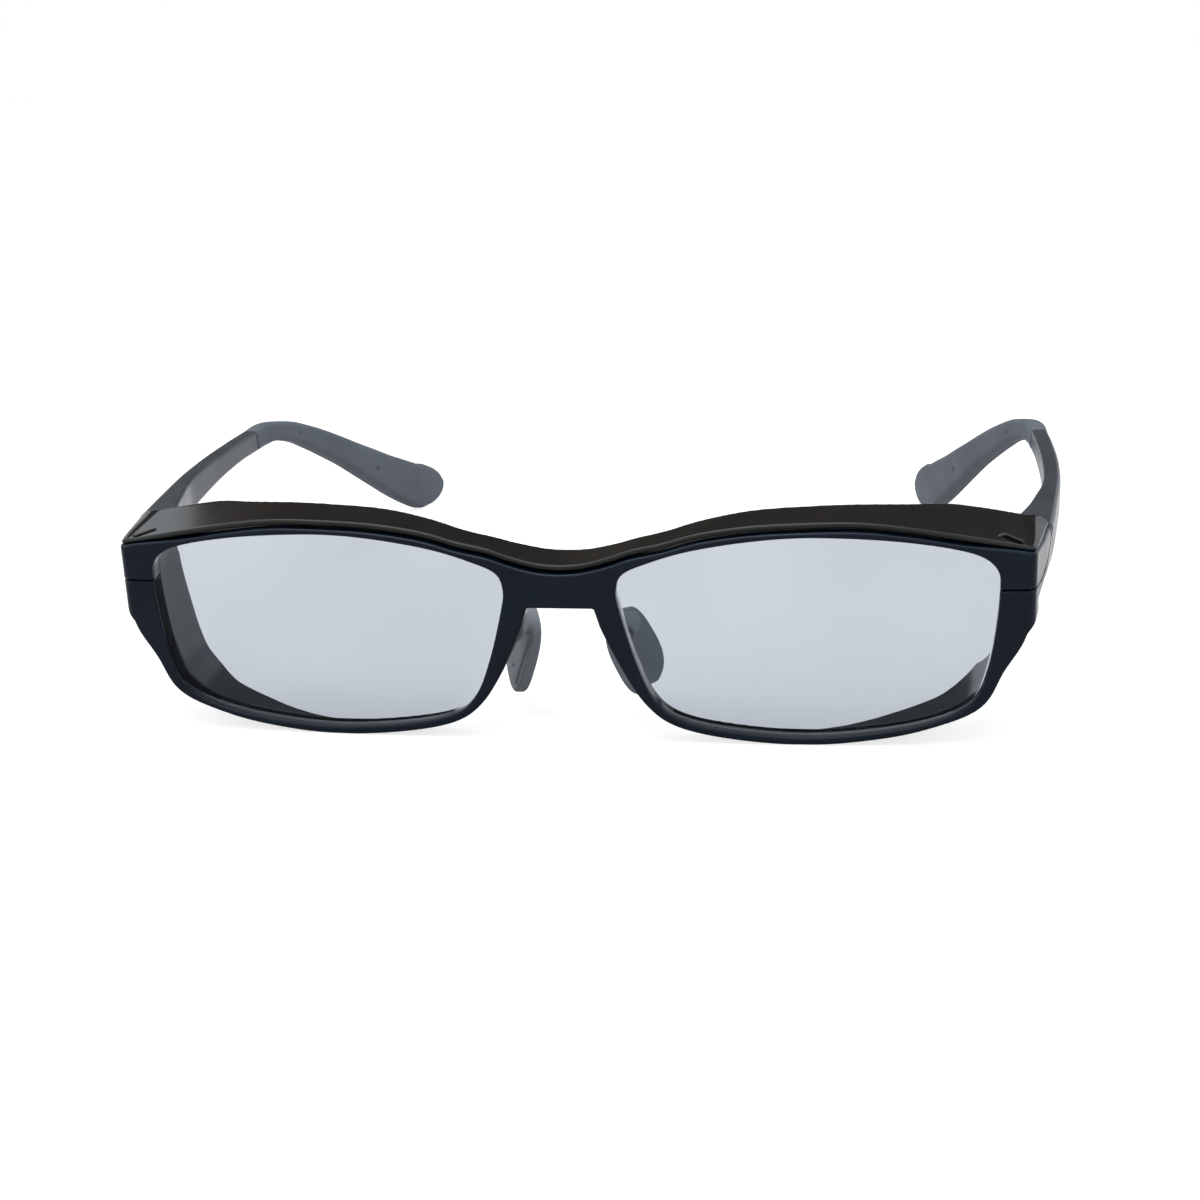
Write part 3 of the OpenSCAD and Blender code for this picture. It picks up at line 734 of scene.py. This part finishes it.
# Front frame: both rims, bridge, endpieces with the slit that parts the rim, and the pads' posts
FRONT_SIDE = [(half_w - flank_in, end_z - 0.25), (half_w, end_z - 2.5), (half_w + 0.3, end_z - 6.5),
              (half_w + 0.5, end_z - 8.9), (half_w + 0.05, end_z - 10.1)]
ENDPIECE_REAR = [
    (wrap + 0.3, end_z - 0.05), (wrap + 0.3, endpiece_low + 0.3), (wrap + 3, endpiece_low + 0.3),
    (endpiece_l * 0.47, endpiece_low + 0.7),
    (endpiece_l * 0.7, end_z - 0.5 * (endpiece_h + temple_root_h)),
    (endpiece_l * 0.88, root_low - 0.3), (endpiece_l, root_low),
    (endpiece_l + RUN_ON, root_low), (endpiece_l + RUN_ON, end_z - 0.05)]
SLIT_CURVE = [(endpiece_l * 0.45, slit_z), (endpiece_l / 2 + 3, slit_z + 1.1),
              (endpiece_l / 2 + 5.2, slit_z + 2.8), (endpiece_l / 2 + 6.8, slit_z + 4.1),
              (endpiece_l / 2 + 7.7, end_z + 0.2)]
SLIT_WIDENS_Y = (6, 8)
slit_more = 0.05

# Places in X, Y and Z where the front's grid changes its steps
FRONT_STEPS_AT = ((63.6, 66.6), (1.6, 8.2), (slit_z - 0.6, slit_z + 0.6))


def front_outline():
    """The front as seen from ahead, both halves."""
    top_edge = brow - np.outer(rim_drop * over_lens(brow[:, 0]), (0, 1))
    bridge_end = (open_x0 - rim_nose_w + 0.35, arch_z)
    half = np.vstack([top_edge, smooth(FRONT_SIDE, 4), rim_curve, bridge_end])
    return np.vstack([half, half[:0:-1] * (-1, 1)])


def endpiece_field(x, y, z, face_distance):
    """The endpiece, which stays inside the front's outline at its lower end."""
    face = [p for p in smooth(OUTER) if p[1] > wrap - 0.4]
    plan = [(endpiece_in, wrap + rim_d - 1.5), *face,
            (root_x, endpiece_l + RUN_ON), (endpiece_in, endpiece_l + RUN_ON)]
    solid = both(outline_distance(x, y, plan), outline_distance(y, z, ENDPIECE_REAR), endpiece_round)
    solid = both(solid, y - endpiece_l, endpiece_end_round)
    flank = face_distance - flank_curve * np.maximum(z - endpiece_low, 0) ** 2
    return both(solid, flank, flank_round)


def front_hollows(x, y, z):
    """Room for the hinge leaf, the hinge barrel and the rim screw."""
    pocket = block(x, y, z, (endpiece_in - 1, leaf_box[0][1] - seat_gap, hinge_z - seat_gap),
                   (pivot[0] + 0.45, endpiece_l + 1, hinge_z + barrel_h + seat_gap))
    screw = np.hypot(x - endpiece_in - rim_screw_in, y - rim_screw_y) - rim_screw_r
    screw = both(screw, z - rim_screw_z)
    return np.minimum(np.minimum(pocket, rod(x, y, pivot, relief_r)), screw)


def slit_field(x, y, z, solid):
    """The slit in the endpiece's surface, level in front and climbing to its top behind."""
    path = [(-3, slit_z), *smooth(SLIT_CURVE)]
    slit = line_distance(y, z, path) - slit_w / 2 - slit_more * fade(y, *SLIT_WIDENS_Y)
    return both(both(slit, open_x1 - 3 - x), -(solid + slit_depth))


def on_painted_shade_wall(x, y, z):
    """Which of these places are on the part of the rim's inner wall that gets painted shade."""
    behind = y - arc(x)
    near = np.abs(outline_distance(x, z, opening(0))) < wall_near
    deep = behind > wall_start + wall_low_more * (1 - fade(z, *wall_low_fade))
    along = ((x > wall_side_x) | (z < wall_bottom_z)) & (x > wall_nose_x) & (z < wall_top)
    return near & deep & (behind < wall_end) & along


def make_front():
    (x1, x2), (y1, y2), (z1, z2) = FRONT_STEPS_AT
    grid = (axis(0, 0.36, x1, 0.22, x2, 0.2, root_x + 0.5),
            axis(-0.5, 0.15, y1, 0.28, y2, 0.14, endpiece_l + 0.5),
            axis(-0.5, 0.28, z1, 0.08, z2, 0.14, end_z + 0.6, 0.22, brow_z + 0.5))
    x, y, z = mesh_grid(*grid)
    depth = y - arc(x)
    face_distance = outline_distance(x, z, front_outline())
    plate = both(face_distance, np.maximum(-depth, depth - rim_d), plate_round)
    plate = both(plate, -outline_distance(x, z, opening(0)), opening_round)
    endpiece = endpiece_field(x, y, z, face_distance)
    low_end = fade(-z, -endpiece_low - 3, -endpiece_low) * fade(x, half_w - 2, half_w - 0.5)
    solid = either(plate, endpiece, plate_fillet + low_fillet * low_end)
    outside = outer_side(x, y)
    solid = np.maximum(solid, both(outside, -depth, front_corner_round))
    solid = np.maximum(solid, both(z - visor_levels(x, y)[1], outside, corner_round(y)))
    rib = outline_distance(x, y, turned_box(slot_w - rib_play_w, slot_l - rib_play_l))
    rib = both(rib, np.maximum(end_z - rib_h - z, z - end_z - seat_gap), rib_round)
    solid = np.minimum(solid, rib)
    post = rod(x, z, post_at, post_d / 2)
    post = both(post, np.maximum(rim_d - post_root - y, y - post_end), post_round)
    solid = either(solid, post, post_fillet)
    slit = slit_field(x, y, z, solid)
    solid = both(solid, -front_hollows(x, y, z), hollow_round)
    solid = both(solid, -slit, slit_round)
    solid = both(solid, floor_gap - z, floor_round)
    piece, places = add_whole("front_moulding", solid, grid)
    finish_piece(piece, "front", "front_frame", frame_black)
    # Painted shade on the rim's inner wall around the lens, for the shadow in the recess between rim and
    # shield
    second_material(piece, on_painted_shade_wall(*places), rim_wall_painted_shade)


# Hood: the brow visor with a side and a lower shield behind each lens
VISOR_BACK = [
    (0, visor_mid_d), (0.7 * open_x0, visor_mid_d - 0.7), (1.5 * open_x0, visor_mid_d - 2.4),
    (lens_x(0.2), visor_mid_d - 2.1), (lens_x(0.34), visor_lens_d - 1.9),
    (lens_x(0.48), visor_lens_d - 1.1), (lens_x(0.636), visor_lens_d),
    (lens_x(0.76), 0.6 * visor_lens_d + 0.4 * endpiece_l),
    (lens_x(0.865), endpiece_l - 0.7), (lens_x(0.95), endpiece_l - 0.1)]

# Rear edge of the shields: share of the opening's width, share of the shield's depth
SHIELD_BACK = [(0.478, 0), (0.566, 0.1), (0.654, 0.28), (0.742, 0.55), (0.817, 0.76),
               (0.882, 0.91), (0.953, 1), (1.1, 1)]
SHIELD_LOW_Z = (13, 30)
SHIELD_SIDE_X = (open_x1 - 9, open_x1 - 3)
MIDDLE_PAST = -6
HOOD_STEPS_AT = (62.4, 3.0, arch_z + 4)


def visor_field(x, y, z):
    """The visor, which lies on the brow and reaches back from its lip."""
    low, high = visor_levels(x, y)
    across = x[:, 0, 0]
    steep = np.sqrt(1 + np.gradient(brow_level(across), across) ** 2)[:, None, None]
    visor = both((z - high) / steep, lip_d - (y - arc(x)), lip_round)
    visor = both(visor, outer_side(x, y) + flank_in, corner_round(y))
    visor = both(visor, (low - z) / steep, visor_low_round)
    edge = [(p[0] - flank_in, p[1]) for p in smooth(OUTER) if wrap < p[1] < endpiece_l - 1.2]
    corner = bend(edge[-1], (root_x - 0.1, endpiece_l), (root_x - 1.9, endpiece_l - 0.05))
    plan = [(MIDDLE_PAST, 0), (half_w - flank_in, 0), *edge, *corner, *smooth(VISOR_BACK)[::-1],
            (MIDDLE_PAST, visor_mid_d)]
    return both(visor, outline_distance(x, y, plan), visor_back_round)


def shield_field(x, y, z):
    """The side and lower shield: a wall outside the opening, behind the rim."""
    wall = np.vstack([opening_part(TOP_OUTER_AT, SHIELD_END_AT, shield_gap),
                      opening_part(TOP_OUTER_AT, SHIELD_END_AT, shield_gap + shield_t)[::-1]])
    above = [(px, pz + shield_up) for px, pz in brow_out if lens_x(0.87) < px < endpiece_in - 0.5]
    corner = np.vstack([opening_part(TOP_OUTER_AT, OUTER_AT, shield_gap),
                        (endpiece_in - 0.3, brow_level(endpiece_in) + shield_up), above[::-1]])
    start = wrap + rim_d
    back = [(lens_x(u), start - shield_in + v * (shield_d - start + shield_in))
            for u, v in smooth(SHIELD_BACK)]
    shield = np.minimum(outline_distance(x, z, wall), outline_distance(x, z, corner))
    further = shield_more + shield_low_more * (1 - fade(z, *SHIELD_LOW_Z))
    further = further * fade(x, *SHIELD_SIDE_X)
    plan = [(half_w, 0), (0, 0), *back]
    shield = both(shield, outline_distance(x, y - further, plan), shield_back_round)
    return both(shield, rim_d + seat_gap - (y - arc(x)), shield_front_round)


def make_hood():
    x1, y1, z1 = HOOD_STEPS_AT
    grid = (axis(0, 0.36, x1, 0.2, root_x + 0.3), axis(0.3, 0.14, y1, 0.25, endpiece_l + 0.6),
            axis(-0.4, 0.26, z1, 0.2, hood_box[1][2] + 0.4))
    x, y, z = mesh_grid(*grid)
    solid = either(visor_field(x, y, z), shield_field(x, y, z), shield_fillet)
    slot = both(outline_distance(x, y, turned_box(slot_w, slot_l)), end_z - slot_h - z)
    solid = both(solid, -slot, hollow_round)
    solid = both(solid, floor_gap - z, floor_round)
    piece, (at_x, _, at_z) = add_whole("hood_moulding", solid, grid)
    finish_piece(piece, "front", "hood", hood_brown)
    second_material(piece, at_z < brow_level(at_x) - shield_tone_drop, shield_smoke)


# Lenses: curved plates with a polished bevel that runs into the rim. The bevel's points are the
# opening's growth and the depth, and the flat faces reach to FLAT_TO.
FLAT_TO = -0.14
RING_SHARES = (0.94, 0.8, 0.6, 0.4, 0.2, 0.05)
MERGE_WITHIN = 1e-7


def make_lenses():
    front = lip_d + lens_in + seat_gap
    rear = front + lens_t
    front_edge = [(0.3, front + 0.6), (0.1, front + 0.25), (-0.06, front + 0.04), (FLAT_TO, front)]
    rear_edge = [(FLAT_TO, rear), (-0.06, rear - 0.04), (0.1, rear - 0.25), (0.3, front + 0.9)]
    centre = np.array([(open_x0 + open_x1) / 2, (open_z0 + open_z1) / 2])
    inner = opening(FLAT_TO)
    rings = [(opening(grow), at) for grow, at in front_edge]
    rings += [(centre + (inner - centre) * share, front) for share in RING_SHARES]
    rings += [(centre + (inner - centre) * share, rear) for share in RING_SHARES[::-1]]
    rings += [(opening(grow), at) for grow, at in rear_edge]
    count = len(inner)
    points = np.vstack([np.stack([r[:, 0], at + arc(r[:, 0]), r[:, 1]], 1) for r, at in rings])
    faces = []
    middle = len(rings) // 2
    here = np.arange(count)
    beside = (here + 1) % count
    for k in [k for k in range(len(rings)) if k != middle - 1]:
        this, following = k * count, (k + 1) % len(rings) * count
        band = (this + here, following + here, following + beside, this + beside)
        faces += np.stack(band, 1).tolist()
    for k in (middle - 1, middle):
        for i in range(count // 2 - 1):
            ids = [k * count + q for q in (i, i + 1, count - 2 - i, count - 1 - i)]
            faces.append(ids[::-1] if k == middle else ids)
    faces = np.array(faces)
    for side, name in ((1, "lens_right"), (-1, "lens_left")):
        flipped = faces if side > 0 else faces[:, ::-1]
        piece = add_mesh(name + "_glass", points * (side, 1, 1), flipped)
        fix_normals(piece)
        finish_piece(piece, "front", name, lens_material)


def fix_normals(piece):
    """Merges points within MERGE_WITHIN metres and turns all faces outwards."""
    shape = bmesh.new()
    shape.from_mesh(piece.data)
    bmesh.ops.remove_doubles(shape, verts=shape.verts, dist=MERGE_WITHIN)
    bmesh.ops.recalc_face_normals(shape, faces=shape.faces)
    shape.to_mesh(piece.data)
    shape.free()


# Temples: moulded arms, flat on top, that widen and rise to the hinge
root_y = endpiece_l + 0.2
inner_x = temple_half_w - temple_t
TEMPLE_OUT = [(root_x, root_y), (root_x + 0.24 * (temple_half_w - root_x), root_y + 6.6),
              (root_x + 0.49 * (temple_half_w - root_x), root_y + 14.6),
              (temple_half_w - 0.5, root_y + 27.6), (temple_half_w, root_y + 40.6),
              (temple_half_w - 0.2, tip_start - 8), (temple_half_w - 0.6, tip_start)]
TEMPLE_IN = [(pivot[0] + 0.4, root_y), (pivot[0] + 0.6, root_y + 3.6), (pivot[0] + 1.6, root_y + 7.1),
             (pivot[0] + 3.1, root_y + 12), (inner_x - 2.3, root_y + 17.6), (inner_x - 1, root_y + 23.6),
             (inner_x - 0.3, root_y + 30.6), (inner_x, root_y + 40.6),
             (inner_x - 0.2, tip_start - 8), (inner_x - 0.6, tip_start)]
TEMPLE_LOW = [(root_y, root_low), (root_y + 13, root_low + 0.05),
              (root_y + 28, end_z - 0.85 * temple_root_h - 0.15 * temple_end_h),
              (root_y + 43, end_z - 0.25 * temple_root_h - 0.75 * temple_end_h),
              (tip_start - 8, tip_low), (tip_start, tip_low)]


def make_temples():
    grid = (axis(pivot[0] - 1.2, 0.2, temple_half_w + 0.5),
            axis(root_y - 0.4, 0.2, root_y + 9, 0.35, tip_start + 0.6),
            axis(root_low - 0.5, 0.2, end_z + 0.5))
    x, y, z = mesh_grid(*grid)
    plan = np.vstack([run_past(smooth(TEMPLE_OUT), 0, RUN_ON),
                      run_past(smooth(TEMPLE_IN), 0, RUN_ON)[::-1]])
    side = np.vstack([(root_y - RUN_ON, end_z), (tip_start + RUN_ON, end_z),
                      run_past(smooth(TEMPLE_LOW), RUN_ON, 0)[::-1]])
    solid = both(outline_distance(x, y, plan), outline_distance(y, z, side), temple_round)
    solid = both(solid, np.maximum(root_y - y, y - tip_start), joint_round)
    leaf_room = block(x, y, z, (pivot[0] - 2, pivot[1], hinge_z - seat_gap),
                      (temple_leaf_box[1][0] + seat_gap, temple_leaf_box[1][1] + seat_gap,
                       hinge_z + barrel_h + seat_gap))
    room = np.minimum(leaf_room, rod(x, y, pivot, relief_r))
    solid = both(solid, -room, room_round)
    add_pair(solid, grid, "temple_{}_moulding", "temple_{}_arm", "temple_{}", temple_black)


# Temple tips: rubber sleeves that bend down over the ear and end in a paddle
tip_l = overall_l - tip_start


def tip_y(t):
    """Depth at a share of the tip's length."""
    return tip_start + t * tip_l


def bow(k):
    """Half width from that at the tip's end, 0, to that of the temple, 1."""
    return tip_half_w + k * (temple_half_w - tip_half_w)


# Shares of the tip's length, of its low point's height and of its growth to the paddle's height
TIP_SHAPE = [(0, 1, 0), (0.081, 1, 0.02), (0.145, 0.995, -0.02), (0.226, 0.938, 0.03),
             (0.29, 0.853, 0.12), (0.355, 0.755, 0.22), (0.435, 0.63, 0.32), (0.516, 0.49, 0.46),
             (0.597, 0.351, 0.62), (0.677, 0.217, 0.76), (0.758, 0.098, 0.88), (0.831, 0.008, 0.92),
             (0.863, 0, 0.88)]
TIP_END = [(0.863, 0.92), (0.925, 0.75), (0.965, 0.6), (0.987, 0.46),
           (1, 0.34), (0.99, 0.17), (0.96, 0.056), (0.911, 0), (0.88, 0)]

# Middle line of the tip, seen from above
temple_mid = temple_half_w - temple_t / 2
PLAN_LINE = [(tip_start - 8, temple_mid - 0.2), (tip_start, temple_mid - 0.6),
             (tip_y(0.081), bow(0.895)), (tip_y(0.161), bow(0.84)), (tip_y(0.242), bow(0.753)),
             (tip_y(0.355), bow(0.616)), (tip_y(0.484), bow(0.467)), (tip_y(0.613), bow(0.33)),
             (tip_y(0.742), bow(0.203)), (tip_y(0.871), bow(0.087)), (overall_l + 0.1, bow(0)),
             (overall_l + 3, bow(-0.03))]

# Small holes in the inner face: share of the length, share of the height, diameter
TIP_HOLES = ((0.592, 0.44, dimple_d), (0.24, 0.42, 0.7))
hole_play = 0.05


def make_tips():
    grid = (axis(tip_half_w - tip_t, 0.28, temple_half_w + 0.6),
            axis(tip_start - 0.5, 0.34, overall_l + 0.5), axis(-0.5, 0.3, end_z + 0.8))
    x, y, z = mesh_grid(*grid)
    curve = smooth(TIP_SHAPE)
    low = np.maximum(curve[:, 1], 0) * tip_low
    high = low + temple_end_h + curve[:, 2] * (paddle_h - temple_end_h)
    along = tip_y(curve[:, 0])
    end = smooth([(tip_y(t), max(0, v) * paddle_h) for t, v in TIP_END])
    side = np.vstack([(tip_start - RUN_ON, high[0]), np.stack([along, high], 1)[:-1], end,
                      np.stack([along, low], 1)[::-1], (tip_start - RUN_ON, low[0])])
    line = smooth(PLAN_LINE)
    plan = np.vstack([np.stack([line[:, 1] + tip_t / 2, line[:, 0]], 1),
                      np.stack([line[:, 1] - tip_t / 2, line[:, 0]], 1)[::-1]])
    solid = both(outline_distance(x, y, plan), outline_distance(y, z, side), tip_round)
    solid = both(solid, tip_start + seat_gap - y, joint_round)
    for t, share, size in TIP_HOLES:
        at_y = tip_y(t)
        at_z = np.interp(at_y, along, low) + share * np.interp(at_y, along, high - low)
        at_x = np.interp(at_y, line[:, 0], line[:, 1]) - tip_t / 2
        reach = np.sqrt((x - at_x) ** 2 + (y - at_y) ** 2 + (z - at_z) ** 2)
        solid = both(solid, -(reach - size / 2 - hole_play), hollow_round)
    solid = both(solid, floor_gap - z, tip_floor_round)
    add_pair(solid, grid, "tip_{}_rubber", "temple_{}_arm", "temple_tip_{}", tip_rubber)


# Nose pads: soft petals with a rolled edge, a fold line, a small hole and a boss over the frame's
# post. The line and the hole are centred MARK_D deep in the pad's face.
MARK_D = 0.1
FOLD_IN = 1.5
FOLD_R = 0.42
FOLD_ENDS = (0.34, 0.6)
HOLE_AT = (0.8, 0.24)
TABLE_SIZE = 241


def petal_distance(u, v):
    """Distance to the pad's outline, read from a table of it because the grid is turned."""
    angle = np.radians(np.arange(0, 360, 3))
    c, s = np.cos(angle), np.sin(angle)
    r = 1 / (np.abs(c) ** pad_power + np.abs(s) ** pad_power) ** (1 / pad_power)
    petal = np.stack([pad_w / 2 * r * c * (1 - pad_narrow * r * s), pad_h / 2 * r * s], 1)
    fine = np.linspace(-pad_h, pad_h, TABLE_SIZE)
    table = outline_distance(fine[:, None], fine[None, :], petal)
    gu, gv = ((g + pad_h) / (fine[1] - fine[0]) for g in (u, v))
    iu, iv = (np.clip(g.astype(int), 0, TABLE_SIZE - 2) for g in (gu, gv))
    fu, fv = np.clip(gu - iu, 0, 1), np.clip(gv - iv, 0, 1)
    return ((1 - fu) * (1 - fv) * table[iu, iv] + fu * (1 - fv) * table[iu + 1, iv]
            + (1 - fu) * fv * table[iu, iv + 1] + fu * fv * table[iu + 1, iv + 1])


def make_pads():
    splay, tilt, lean = (math.radians(a) for a in pad_turns)
    turn = (Matrix.Rotation(lean, 3, "Y") @ Matrix.Rotation(tilt, 3, "X")
            @ Matrix.Rotation(splay, 3, "Z") @ Matrix.Rotation(math.pi / 2, 3, "X"))
    turn = np.array(turn)
    low, high = (np.array(c) for c in box_mm("nose_pad_right"))
    grid = tuple(axis(low[a] - 0.5, 0.16, high[a] + 0.5) for a in range(3))
    x, y, z = mesh_grid(*grid)
    u, v, w = (turn[0, i] * (x - pad_at[0]) + turn[1, i] * (y - pad_at[1]) + turn[2, i] * (z - pad_at[2])
               for i in range(3))
    rim = petal_distance(u, v)
    crown = pad_crown * np.clip(rim + pad_crown_w, 0, pad_crown_w)
    solid = both(rim, np.abs(w) - pad_t / 2 + crown, pad_round)
    boss = rod(x, z, post_at, boss_d / 2)
    boss = both(boss, np.maximum(rim_d + boss_root - y, y - post_end - boss_past), boss_round)
    solid = either(solid, boss, boss_fillet)
    face = w - pad_t / 2 + MARK_D
    fold = np.hypot(u + pad_w / 2 - FOLD_IN, face) - FOLD_R
    fold = both(fold, np.maximum(-v - pad_h * FOLD_ENDS[0], v - pad_h * FOLD_ENDS[1]))
    hole = np.sqrt((u + HOLE_AT[0]) ** 2 + (v + HOLE_AT[1] * pad_h) ** 2 + face ** 2) - dimple_d / 2
    solid = both(solid, -np.minimum(fold, hole), mark_round)
    post_room = both(rod(x, z, post_at, post_d / 2) - seat_gap, y - post_end - post_play)
    solid = both(solid, -post_room, room_round)
    for piece in add_pair(solid, grid, "pad_{}_rubber", "front", "nose_pad_{}", pad_rubber):
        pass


# The metal parts stay as the solids are, with edges softened by METAL_EDGE metres
METAL_NODES = ("hinge", "rim_screw", "core")
METAL_EDGE = 0.00006
METAL_ANGLE = math.radians(35)


def dress_metal():
    for name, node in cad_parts.items():
        if name.startswith(METAL_NODES):
            node.data.materials.clear()
            node.data.materials.append(nickel)
            edge = node.modifiers.new("edges", "BEVEL")
            edge.width = METAL_EDGE
            edge.segments = 2
            edge.limit_method = "ANGLE"
            edge.angle_limit = METAL_ANGLE


# Camera: solved from the photograph, in a square picture. It sees what is within CLIP metres.
PICTURE = 1200
FOCAL_PX = 1870.4
SENSOR_MM = 36.0
YAW, PITCH, ROLL = -0.17372, 0.32659, -0.04348
LOOK_AT = np.array([0, 0, 18])
OFFSET = np.array([-6.05, 285.75, -4.93])
CLIP = (0.01, 10)


def make_camera():
    level = np.array(Matrix.Rotation(ROLL, 3, "Y") @ Matrix.Rotation(PITCH, 3, "X")
                     @ Matrix.Rotation(YAW, 3, "Z"))
    place = placed(LOOK_AT - level.T @ OFFSET)
    right, forward, up = level
    data = bpy.data.cameras.new("camera")
    data.sensor_width = SENSOR_MM
    data.lens = SENSOR_MM * FOCAL_PX / PICTURE
    data.clip_start, data.clip_end = CLIP
    camera = add_object("camera", data)
    turn = Matrix((right, up, -forward)).transposed().to_4x4()
    camera.matrix_world = Matrix.Translation(Vector(place)) @ turn
    bpy.context.scene.camera = camera


def coordinates(tree, kind):
    """Texture coordinates of a kind, and their X, Y and Z."""
    where = tree.nodes.new("ShaderNodeTexCoord").outputs[kind]
    parts = tree.nodes.new("ShaderNodeSeparateXYZ")
    tree.links.new(where, parts.inputs[0])
    return where, parts.outputs


def math_on(tree):
    """A function that adds a math node and gives its result, from sockets or plain numbers."""
    def result(operation, first, second):
        made = tree.nodes.new("ShaderNodeMath")
        made.operation = operation
        for socket, value in zip(made.inputs, (first, second)):
            if isinstance(value, (int, float)):
                socket.default_value = value
            else:
                tree.links.new(value, socket)
        return made.outputs[0]
    return result


def ray_kinds(tree, result):
    """The kinds of ray, and 1 for what the camera sees directly or through a lens."""
    path = tree.nodes.new("ShaderNodeLightPath").outputs
    return path, result("MAXIMUM", path["Is Camera Ray"], path["Is Transmission Ray"])


def step(tree, source, start, stop):
    """Smooth step from 0 at start to 1 at stop."""
    made = new_node(tree, "MapRange", {"From Min": start, "From Max": stop})
    made.interpolation_type = "SMOOTHSTEP"
    tree.links.new(source, made.inputs["Value"])
    return made.outputs["Result"]


def blend(tree, share, first, second):
    """Colour that goes from first to second, which are sockets or colours."""
    made = tree.nodes.new("ShaderNodeMix")
    made.data_type = "RGBA"
    tree.links.new(share, made.inputs["Factor"])
    for key, value in (("A", first), ("B", second)):
        if isinstance(value, tuple):
            made.inputs[key].default_value = (*value, 1)
        else:
            tree.links.new(value, made.inputs[key])
    return made.outputs["Result"]


# The floor glows white where it is seen. In reflections only its far part glows, and less. Its
# size and places are in metres.
FLOOR_SIZE = 3
FLOOR_LEVEL = -0.00004
FLOOR_GREY = (0.45, 0.45, 0.45, 1)
FLOOR_GLOW = 0.74
FLOOR_FAR_GLOW = 0.5
FLOOR_FAR_Y = (-0.06, 0.03)


def make_stage():
    bpy.ops.mesh.primitive_plane_add(size=FLOOR_SIZE, location=(0, 0, FLOOR_LEVEL))
    floor = bpy.context.object
    floor.name = "floor"
    material, tree = shader("floor_white")
    surface = set_values(tree.nodes["Principled BSDF"], {
        "Base Color": FLOOR_GREY, "Roughness": 0.9, "Specular IOR Level": 0.1,
        "Emission Color": (1, 1, 1, 1)})
    result = math_on(tree)
    path, direct = ray_kinds(tree, result)
    parts = coordinates(tree, "Object")[1]
    mirrored_only = result("SUBTRACT", path["Is Glossy Ray"], direct)
    far = result("MULTIPLY", step(tree, parts["Y"], *FLOOR_FAR_Y), FLOOR_FAR_GLOW)
    far = result("MULTIPLY", far, result("MAXIMUM", mirrored_only, 0.0))
    glow = result("ADD", result("MULTIPLY", direct, FLOOR_GLOW), far)
    tree.links.new(glow, surface.inputs["Emission Strength"])
    floor.data.materials.append(material)


# The studio: white behind, a plain grey for diffuse light, and for reflections a bright room with
# a dark screen behind the goggles. Its sides are values of X / Y, made ragged by noise, and its
# other limits values of Y and Z, all of the direction.
SCREEN_LEFT = (-0.53, -0.52)
SCREEN_RIGHT = (0.235, 0.25)
SCREEN_FRONT = (0.05, 0.2)
SCREEN_TOP = (0.62, 0.8)
RAGGED_SCALE = 9.0
RAGGED_BY = 0.08
WHITE = (1, 1, 1)
DIFFUSE_GREY = (0.72, 0.745, 0.78)
SCREEN_DARK = (0.075, 0.066, 0.058)
ROOM_LOW = (0.55, 0.59, 0.64)
ROOM_HIGH = (0.92, 0.97, 1.0)


def make_world():
    world = bpy.data.worlds.new("studio")
    bpy.context.scene.world = world
    world.use_nodes = True
    tree = world.node_tree
    back = tree.nodes["Background"]
    result = math_on(tree)
    path, direct = ray_kinds(tree, result)
    where, parts = coordinates(tree, "Generated")
    ragged = new_node(tree, "TexNoise", {"Scale": RAGGED_SCALE, "Detail": 4.0})
    tree.links.new(where, ragged.inputs["Vector"])
    wave = result("MULTIPLY", result("SUBTRACT", ragged.outputs["Fac"], 0.5), RAGGED_BY)
    turn = result("ADD", result("DIVIDE", parts["X"], parts["Y"]), wave)
    screen = step(tree, turn, *SCREEN_LEFT)
    past_right = step(tree, turn, *SCREEN_RIGHT)
    screen = result("MULTIPLY", screen, result("SUBTRACT", 1.0, past_right))
    screen = result("MULTIPLY", screen, step(tree, parts["Y"], *SCREEN_FRONT))
    above = step(tree, parts["Z"], *SCREEN_TOP)
    screen = result("MULTIPLY", screen, result("SUBTRACT", 1.0, above))
    room = ramp(tree, parts["Z"], ROOM_LOW, ROOM_HIGH, 0.0, 0.5)
    room = blend(tree, screen, room, SCREEN_DARK)
    shine = blend(tree, path["Is Glossy Ray"], DIFFUSE_GREY, room)
    seen = blend(tree, direct, shine, WHITE)
    tree.links.new(seen, back.inputs["Color"])


# Area lamps: name, place and size in metres, power in watts
LAMPS = [("top", (-0.1, -0.1, 0.7), (0.7, 0.5), 2.6),
         ("left", (-0.7, -0.2, 0.35), (0.5, 0.4), 1.0),
         ("right", (0.7, 0.1, 0.4), (0.4, 0.4), 1.1)]
LAMP_TARGET = Vector((0, 0, 0.02))


def add_lamp(name, place, size, watts):
    data = bpy.data.lights.new(name, "AREA")
    data.shape = "RECTANGLE"
    data.size, data.size_y = size
    data.energy = watts
    lamp = add_object(name, data)
    lamp.location = place
    lamp.rotation_mode = "QUATERNION"
    lamp.rotation_quaternion = (LAMP_TARGET - lamp.location).to_track_quat("-Z", "Y")


make_camera()
make_front()
make_hood()
make_lenses()
make_temples()
make_tips()
make_pads()
dress_metal()
make_stage()
make_world()
for lamp_values in LAMPS:
    add_lamp(*lamp_values)
bpy.context.scene.view_settings.view_transform = "Standard"
